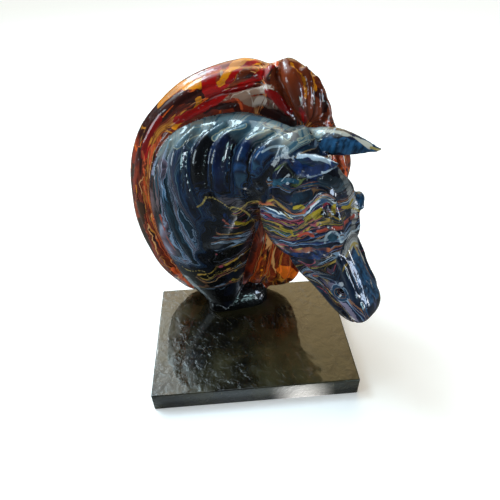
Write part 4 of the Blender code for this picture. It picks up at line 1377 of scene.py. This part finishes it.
# %% Where the bands break off
CROWDED, IDLE = (1.7, 2.5), (0.3, 0.6)  # numbers to a millimetre: bands would be too thin, or too broad
FOREHEAD_END = 20.5  # numbers across the run
FACE_FROM, FACE_TO = -36.0, -24.0  # from the hair to the face, in the same numbers
ground = add(tree, "ValToRGB", {0: mixed}, stops=GROUND)
throat_ground = add(tree, "ValToRGB", {0: mixed}, stops=THROAT_GROUND)
band_shade = add(tree, "MapRange", {0: mixed, 1: 0.36, 2: 0.6, 3: 0.35, 4: 1.25})
broken = add(tree, "MapRange", {0: broad, 1: 0.54, 2: 0.6, 3: 0.0, 4: 0.85})
crowded = add(tree, "MapRange", {0: rate_read, 1: CROWDED[0], 2: CROWDED[1], 3: 0.0, 4: 1.0})
idle = add(tree, "MapRange", {0: rate_read, 1: IDLE[0], 2: IDLE[1], 3: 1.0, 4: 0.0})
broken = add(tree, "Math", {0: broken, 1: crowded}, operation="MAXIMUM")
neck_read = add(tree, "Attribute", attribute_name="neck_side", out="Fac")
on_throat = add(tree, "MapRange", {0: neck_read, 1: -0.6, 2: 0.6, 3: 0.0, 4: 1.0})
below_forehead = add(tree, "Math", {0: swayed, 1: FOREHEAD_END}, operation="GREATER_THAN")
unbroken = add(tree, "Math", {0: broken, 1: idle}, operation="MAXIMUM")
unbroken = add(tree, "Math", {0: 1.0, 1: unbroken}, operation="SUBTRACT")
on_lines = add(tree, "Math", {0: crowded, 1: idle}, operation="MAXIMUM")
on_lines = add(tree, "Math", {0: 1.0, 1: on_lines}, operation="SUBTRACT")
forehead = drawn(ground, FOREHEAD_LINES, unbroken)
shaded_bands = add(tree, "HueSaturation", {"Color": bands(swayed, FACE_BANDS), "Value": band_shade})
face_colour = add(tree, "Mix", {0: broken, 6: shaded_bands, 7: ground}, **COLOURS)
face_colour = add(tree, "Mix", {0: below_forehead, 6: forehead, 7: face_colour}, **COLOURS)
throat = drawn(throat_ground, THROAT_LINES, unbroken)
face_colour = add(tree, "Mix", {0: on_throat, 6: face_colour, 7: throat}, **COLOURS)
on_face = add(tree, "MapRange", {0: swayed, 1: FACE_FROM, 2: FACE_TO, 3: 0.0, 4: 1.0})
blue_colour = add(tree, "Mix", {0: on_face, 6: hair_colour, 7: face_colour}, **COLOURS)
some = add(tree, "MapRange", {0: broad, 1: 0.5, 2: 0.57, 3: 0.0, 4: 0.9})
others = add(tree, "MapRange", {0: broad, 1: 0.43, 2: 0.5, 3: 0.8, 4: 0.0})
on_lines = add(tree, "Math", {0: on_lines, 1: on_face}, operation="MULTIPLY")
some = add(tree, "Math", {0: some, 1: on_lines}, operation="MULTIPLY")
some = add(tree, "Math", {0: some, 1: below_forehead}, operation="MULTIPLY")
others = add(tree, "Math", {0: others, 1: on_lines}, operation="MULTIPLY")
FACE_THREADS = (
    (10.0, 90, 6, 0.4, "#a88c38", some), (11.0, 80, 8, 0.4, "#96404e", some),
    (12.0, 90, 6, 0.35, "#87a2bc", others), (13.0, 80, 9, 0.45, "#8f6244", others),
)
for row in FACE_THREADS:
    blue_colour = threads(blue_colour, *row)
print("bands, lines and threads laid on the face and throat")

# %% Pours of the head and neck
NOSE_GRAIN = (9.0, 320.0, 320.0)  # grains to a metre: 110 mm along the head, 3 mm across it
SHEER = {"veil": 0.8, "smoke": 0.7, "slate": 0.75, "near_ear_highlight": 0.85}  # how much a thin pour covers
head_turn = Matrix((LIP_WAY, BROW_WAY, SIDE_WAY)).to_euler()
object_place = add(tree, "TexCoord", out="Object")
along_head = add(tree, "Mapping", {"Vector": object_place, "Rotation": head_turn})
along_head = add(tree, "Mapping", {"Vector": along_head, "Scale": NOSE_GRAIN})
nose_streaks = add(tree, "TexNoise", {"Vector": along_head, "Scale": 1.0, "Detail": 3.0})
nose_shade = add(tree, "MapRange", {0: nose_streaks, 1: 0.36, 2: 0.64, 3: 0.3, 4: 1.6})
BLUE_EDGES = {  # how far the edge is torn, in millimetres, and what shades the pour
    "navy": (5, nose_shade), "teal": (5, nose_shade), "near_ear_highlight": (3, even_shade), "bone": (3, even_shade),
    "veil": (5, streaky_shade), "smoke": (9, streaky_shade), "slate": (8, streaky_shade),
    "lagoon": (3.5, even_shade), "ochre": (2.5, streaky_shade), "coral": (2.5, even_shade),
    "soot": (4, even_shade), "gilt": (0.8, even_shade), "frost": (0.8, even_shade),
}
RIMS = {"coral": "#8c4c40"}
LEAF_TORN, LEAF_RIM, LEAF_COVER, SWIRL_TORN = 4.0, "#a8a890", 0.25, 5.0
for name, (torn_mm, shading) in BLUE_EDGES.items():
    blue_colour = pour(blue_colour, name, torn_mm, shading, RIMS.get(name), SHEER.get(name, 1.0))
blue_colour = pour(blue_colour, "leaf", LEAF_TORN, even_shade, LEAF_RIM, LEAF_COVER)
swirl_read = add(tree, "Attribute", attribute_name="swirl", out="Fac")
swirl_at = add(tree, "Math", {0: torn_middle, 1: SWIRL_TORN, 2: swirl_read}, operation="MULTIPLY_ADD")
in_swirl = add(tree, "MapRange", {0: swirl_at, 1: -0.2, 2: 0.2, 3: 0.0, 4: 1.0})
swirl_colour = bands(swirl_at, SWIRL_BANDS)
blue_colour = add(tree, "Mix", {0: in_swirl, 6: blue_colour, 7: swirl_colour}, **COLOURS)
print("blue pours:", ", ".join(BLUE_EDGES))

# %% Put the colours together
SIDE_TORN, FOOT_TORN = 3.0, 8.0  # how far the borders between the parts are torn, in millimetres
side_read = add(tree, "Attribute", attribute_name="mane_side", out="Fac")
foot_read = add(tree, "Attribute", attribute_name="foot_side", out="Fac")
side_edge = add(tree, "Math", {0: torn_middle, 1: SIDE_TORN, 2: side_read}, operation="MULTIPLY_ADD")
foot_edge = add(tree, "Math", {0: torn_middle, 1: FOOT_TORN, 2: foot_read}, operation="MULTIPLY_ADD")
is_mane = add(tree, "MapRange", {0: side_edge, 1: -0.3, 2: 0.3, 3: 0.0, 4: 1.0})
is_foot = add(tree, "MapRange", {0: foot_edge, 1: -0.5, 2: 0.5, 3: 0.0, 4: 1.0})
paint = add(tree, "Mix", {0: is_mane, 6: blue_colour, 7: mane_colour}, **COLOURS)
paint = add(tree, "Mix", {0: is_foot, 6: paint, 7: linear(PAINTS["soot"])}, **COLOURS)
print("blue, mane and foot joined")

# %% Clear coat
BRUSH_MM, BRUSH_HIGH = 7.0, 0.00018  # grain in millimetres and height in metres, here and below
CRUMPLE_MM, CRUMPLE_HIGH = 13.0, 0.002  # on the foot, where the paint ran together and wrinkled
PIMPLE_MM, PIMPLE_HIGH = 2.2, 0.0002
brushed = add(tree, "TexNoise", {"Vector": object_place, "Scale": 1000 / BRUSH_MM, "Detail": 1.5})
crumple = add(tree, "TexNoise", {"Vector": object_place, "Scale": 1000 / CRUMPLE_MM, "Detail": 2.0})
crumple = add(tree, "Math", {0: crumple, 1: is_foot}, operation="MULTIPLY")
pimples = add(tree, "TexNoise", {"Vector": object_place, "Scale": 1000 / PIMPLE_MM, "Detail": 0.0})
pimples = {0: pimples, 1: 0.66, 2: 0.8, 3: 0.0, 4: 1.0}  # only the highest grains
pimples = add(tree, "MapRange", pimples, interpolation_type="SMOOTHSTEP")
ripple = add(tree, "Bump", {"Strength": 0.5, "Distance": BRUSH_HIGH, "Height": brushed})
ripple = add(tree, "Bump", {"Strength": 0.8, "Distance": CRUMPLE_HIGH, "Height": crumple, "Normal": ripple})
ripple = add(tree, "Bump", {"Strength": 0.8, "Distance": PIMPLE_HIGH, "Height": pimples, "Normal": ripple})
gloss = add(
    tree,
    "BsdfPrincipled",
    {
        "Base Color": paint, "Roughness": 0.35, "IOR": 1.5, "Specular IOR Level": 0.1, "Coat Weight": 1.0,
        "Coat Roughness": 0.045, "Coat IOR": 1.5, "Coat Normal": ripple, "Normal": ripple,
    },
)
add(tree, "OutputMaterial", {"Surface": gloss})
casting.materials.clear()
casting.materials.append(marbled)
casting.polygons.foreach_set("use_smooth", [True] * len(casting.polygons))
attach(horse, "root")
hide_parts("horse_bust")
print("the horse has", sum(len(p.vertices) - 2 for p in casting.polygons), "triangles")

# %% [markdown]
# ## Slab
# The base is a wooden block in black lacquer. The clear coat on it was brushed on thick and dried with
# slow ripples and a few scratches, which break up what it mirrors. A flat box would mirror too
# perfectly, and bump alone leaves the edges straight. So the top is a fine grid whose points are
# lowered a little by a slow noise, bump adds the finer crinkles, and the box keeps its size.

# %% Lacquered slab
CELL = 0.0016  # metres, as the other lengths here
EDGE_ROUND, EDGE_STEPS = 0.0012, 3
RIPPLE_HIGH, RIPPLE_LONG, TOP_SKIN = 0.00022, 0.016, 0.0001
FINER, FINER_SHIFT = 2.3, Vector((7, 3, 1))  # a second ripple, so many times shorter
SHARP_DEGREES = 50
bm = bmesh.new()
bmesh.ops.create_cube(bm, size=1.0)
for v in bm.verts:
    v.co = [(low + high) / 2 + part * (high - low) for low, high, part in zip(slab_low, slab_high, v.co)]
bmesh.ops.bevel(bm, geom=bm.edges[:], offset=EDGE_ROUND, segments=EDGE_STEPS, profile=0.5, affect="EDGES")
for axis, way in enumerate((Vector((1, 0, 0)), Vector((0, 1, 0)))):
    for at in np.arange(slab_low[axis] + 2 * CELL, slab_high[axis] - CELL, CELL):
        everything = bm.verts[:] + bm.edges[:] + bm.faces[:]
        bmesh.ops.bisect_plane(bm, geom=everything, plane_co=way * at, plane_no=way)
top = slab_high[2]
for v in bm.verts:
    if v.co.z > top - TOP_SKIN:
        lift = noise.noise(v.co / RIPPLE_LONG)
        lift += 0.5 * noise.noise(v.co / RIPPLE_LONG * FINER + FINER_SHIFT)
        v.co.z = top - RIPPLE_HIGH * (0.75 - 0.5 * lift)
slab_mesh = mesh_of(bm, "lacquered_slab")
slab = shown("lacquered_slab", slab_mesh)
slab_mesh.polygons.foreach_set("use_smooth", [True] * len(slab_mesh.polygons))
slab_mesh.set_sharp_from_angle(angle=math.radians(SHARP_DEGREES))
print("slab of", len(slab_mesh.polygons), "faces")

# %% Black lacquer
# Brushed clear lacquer over black: it mirrors sharply, but its crinkles pull the mirrored shapes apart.
lacquer, tree = new_tree("black_lacquer_brushed_clear")
object_place = add(tree, "TexCoord", out="Object")
CRINKLE_MM, CRINKLE_HIGH, BLOTCH_MM = 8.0, 0.0019, 45.0
WIPE_TURN = 0.95  # radians: the slab was wiped slantwise, and the scratches lie along that way
SCRATCH_GRAIN, SCRATCH_HIGH = (60.0, 800.0, 60.0), 0.0002  # grains to a metre, and height in metres
# The hazed colour lightens the black to a dull olive in blotches: partly the lacquer's own haze, partly a
# painted warm sheen.
BLACK, HAZE_AND_SHEEN, SCRATCHED = "#100e09", "#342f18", "#565038"
crinkle_settings = {"Vector": object_place, "Scale": 1000 / CRINKLE_MM, "Detail": 3.0, "Distortion": 0.6}
crinkle = add(tree, "TexNoise", crinkle_settings)
stretched = add(tree, "Mapping", {"Vector": object_place, "Rotation": (0, 0, WIPE_TURN)})
stretched = add(tree, "Mapping", {"Vector": stretched, "Scale": SCRATCH_GRAIN})
scratch = add(tree, "TexNoise", {"Vector": stretched, "Scale": 1.0, "Detail": 2.0, "Distortion": 0.8})
scratch_line = add(tree, "MapRange", {0: scratch, 1: 0.7, 2: 0.76, 3: 0.0, 4: 1.0})
blotch = add(tree, "TexNoise", {"Vector": object_place, "Scale": 1000 / BLOTCH_MM, "Detail": 4.0})
dull = add(tree, "MapRange", {0: blotch, 1: 0.35, 2: 0.65, 3: 0.15, 4: 0.4})
crinkled = add(tree, "MapRange", {0: blotch, 1: 0.4, 2: 0.6, 3: 1.0, 4: 0.6})
crinkle = add(tree, "Math", {0: crinkle, 1: crinkled}, operation="MULTIPLY")
skin = add(tree, "Bump", {"Strength": 1.0, "Distance": CRINKLE_HIGH, "Height": crinkle})
skin = add(tree, "Bump", {"Strength": 0.3, "Distance": SCRATCH_HIGH, "Height": scratch_line, "Normal": skin})
# Blotches of dull olive: partly real haze, partly a painted sheen of the warm room that the top mirrors.
haze_and_sheen = add(tree, "MapRange", {0: blotch, 1: 0.4, 2: 0.62, 3: 0.0, 4: 1.0})
black = add(tree, "Mix", {0: haze_and_sheen, 6: linear(BLACK), 7: linear(HAZE_AND_SHEEN)}, **COLOURS)
black = add(tree, "Mix", {0: scratch_line, 6: black, 7: linear(SCRATCHED)}, **COLOURS)
gloss = add(
    tree,
    "BsdfPrincipled",
    {
        "Base Color": black, "Roughness": dull, "IOR": 1.5, "Specular IOR Level": 0.25, "Coat Weight": 1.0,
        "Coat Roughness": 0.06, "Normal": skin,
    },
)
add(tree, "OutputMaterial", {"Surface": gloss})
slab_mesh.materials.append(lacquer)
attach(slab, "root")
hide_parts("base_slab")
print("slab lacquered")

# %% [markdown]
# ## Studio
# A pale floor, a broad bright sky at one side and a warm wall behind, which is what the slab mirrors
# towards the camera. The walls in front are dim, so the black parts stay black. The real slab stood on
# a dark table, so the floor is dark in a mirror, except for a strip in front of the slab and a glare
# there that the slab's edge shows. A panorama picture could light the room. Seven soft boxes do it
# here, because each can be moved until its gleam sits where the real one does. Two of them only gleam
# in the coat: those windows draw bright shapes on it and light the paint little.

# %% Floor
FLOOR_SIDE = 14.0
bm = bmesh.new()
bmesh.ops.create_grid(bm, x_segments=1, y_segments=1, size=FLOOR_SIDE / 2)
floor_mesh = mesh_of(bm, "pale_floor")
floor = shown("pale_floor", floor_mesh)
print("floor of", FLOOR_SIDE, "m laid")

# %% Paper on the floor
PAPER_GRAINS = 900.0  # across the whole floor
MIRRORED_FLOOR = 0.12  # how bright the floor is in a mirror: the real one stood on a dark table
SLAB_FRONT = (0.0, -0.085, 0.0)  # in front of the slab the table was bright
GLARE_PLACE, GLARE_GLOW = (0.046, -0.085, 0.0), 5.5
GLARE_REACH = 0.036
STRIP_SQUEEZE = (0.25, 1.0, 1.0)  # makes the bright strip four times as long as it is deep
STRIP_NEAR, STRIP_FAR, STRIP_SHADE = 0.006, 0.036, 0.85
LIT_FLOOR = 0.25  # the floor's extra light to the camera, because the photograph has a white ground
paper, tree = new_tree("matt_white_paper")  # scatters the light evenly, so the ground has no gleam
grain = add(tree, "TexNoise", {"Scale": PAPER_GRAINS, "Detail": 2.0})
white = add(tree, "MapRange", {0: grain, 3: 0.9, 4: 0.96})
floor_place = add(tree, "TexCoord", out="Object")
squeezed = add(tree, "Mapping", {"Vector": floor_place, "Scale": STRIP_SQUEEZE})
from_front = add(tree, "VectorMath", {0: squeezed, 1: SLAB_FRONT}, out="Value", operation="DISTANCE")
strip = {0: from_front, 1: STRIP_NEAR, 2: STRIP_FAR, 3: STRIP_SHADE, 4: MIRRORED_FLOOR}
mirrored_shade = add(tree, "MapRange", strip)
from_glare = add(tree, "VectorMath", {0: floor_place, 1: GLARE_PLACE}, out="Value", operation="DISTANCE")
glare = {0: from_glare, 1: 0.0, 2: GLARE_REACH, 3: GLARE_GLOW, 4: 0.0}
glare = add(tree, "MapRange", glare, interpolation_type="SMOOTHSTEP")
rays = add(tree, "LightPath").node
shade = add(tree, "Mix", {0: rays.outputs["Is Glossy Ray"], 2: 1.0, 3: mirrored_shade}, data_type="FLOAT")
white = add(tree, "Math", {0: white, 1: shade}, operation="MULTIPLY")
pale = add(tree, "CombineColor", {0: white, 1: white, 2: white})
glare = add(tree, "Math", {0: glare, 1: rays.outputs["Is Glossy Ray"]}, operation="MULTIPLY")
to_camera = rays.outputs["Is Camera Ray"]
glow = add(tree, "Math", {0: to_camera, 1: LIT_FLOOR, 2: glare}, operation="MULTIPLY_ADD")
matt = add(
    tree,
    "BsdfPrincipled",
    {
        "Base Color": pale, "Roughness": 0.9, "IOR": 1.45, "Specular IOR Level": 0.0,
        "Emission Color": linear("#fffdf8"), "Emission Strength": glow,
    },
)
add(tree, "OutputMaterial", {"Surface": matt})
floor_mesh.materials.append(paper)
print("the floor is matt and", MIRRORED_FLOOR, "as bright in a mirror")

# %% Room
WALL_GLOW, BACKDROP_GLOW, WALL_TINT = 0.05, 1.0, "#f7f9ff"
# The next two give a direction, the cosine where the glow fades out, its strength and its tint.
SKY = ((-0.45, 0.3, 0.84), 0.74, 3.0, "#e4f2f8")
BACK_WALL = ((0.1, 0.8, 0.6), 0.86, 2.5, "#ffe0a4")
world = bpy.data.worlds.new("studio_room")
bpy.context.scene.world = world
world.use_nodes = True
tree = world.node_tree
tree.nodes.clear()
heading = add(tree, "TexCoord", out="Generated")
room = add(tree, "Background", {"Color": linear(WALL_TINT), "Strength": WALL_GLOW})
for way, fade, strength, tint in (SKY, BACK_WALL):
    way = tuple(Vector(way).normalized())
    facing = add(tree, "VectorMath", {0: heading, 1: way}, out="Value", operation="DOT_PRODUCT")
    bright = {0: facing, 1: fade, 2: 1.0, 3: 0.0, 4: strength}
    bright = add(tree, "MapRange", bright, interpolation_type="SMOOTHSTEP")
    glow = add(tree, "Background", {"Color": linear(tint), "Strength": bright})
    room = add(tree, "AddShader", {0: room, 1: glow})
backdrop = add(tree, "Background", {"Color": linear(WALL_TINT), "Strength": BACKDROP_GLOW})
seen_directly = add(tree, "LightPath", out="Is Camera Ray")
add(tree, "OutputWorld", {"Surface": add(tree, "MixShader", {0: seen_directly, 1: room, 2: backdrop})})
print("a room with a sky and a warm wall")

# %% Soft boxes
BUST_MIDDLE = Vector((0.0, 0.0, 0.14))


def soft_box(name, centre, size, watts, tint, lights_paint=True):
    """A flat lamp that faces the bust and that the camera doesn't see. It may gleam in the coat alone."""
    data = bpy.data.lights.new(name, "AREA")
    data.shape = "RECTANGLE"
    data.size, data.size_y = size
    data.energy = watts
    data.color = linear(tint)[:3]
    lamp = shown(name, data)
    lamp.location = centre
    lamp.rotation_euler = (BUST_MIDDLE - Vector(centre)).to_track_quat("-Z", "Y").to_euler()
    lamp.visible_camera = False
    lamp.visible_diffuse = lights_paint


soft_box("window_right", (1.39, -0.56, 0.2), (0.16, 0.36), 3.4, "#f2f8ff")
soft_box("window_ridge", (1.16, -0.87, 0.5), (0.42, 0.34), 7.0, "#d0e4ff", False)
soft_box("window_low", (0.56, -1.38, 0.26), (0.34, 0.22), 2.6, "#bfeaf0", False)
soft_box("window_front_right", (0.84, -1.24, 0.3), (0.12, 0.3), 2.6, "#e4f6ff")
soft_box("window_left", (-1.37, -0.45, 0.55), (0.46, 0.6), 6.0, "#e0f4ff")
soft_box("skylight", (-0.8, 0.46, 1.45), (0.6, 0.5), 15.0, "#d4f2ff")
soft_box("window_behind", (-0.61, 1.06, 1.17), (0.3, 0.3), 4.5, "#eef8ff")
bpy.context.scene.view_settings.view_transform = "Standard"
print("seven soft boxes")
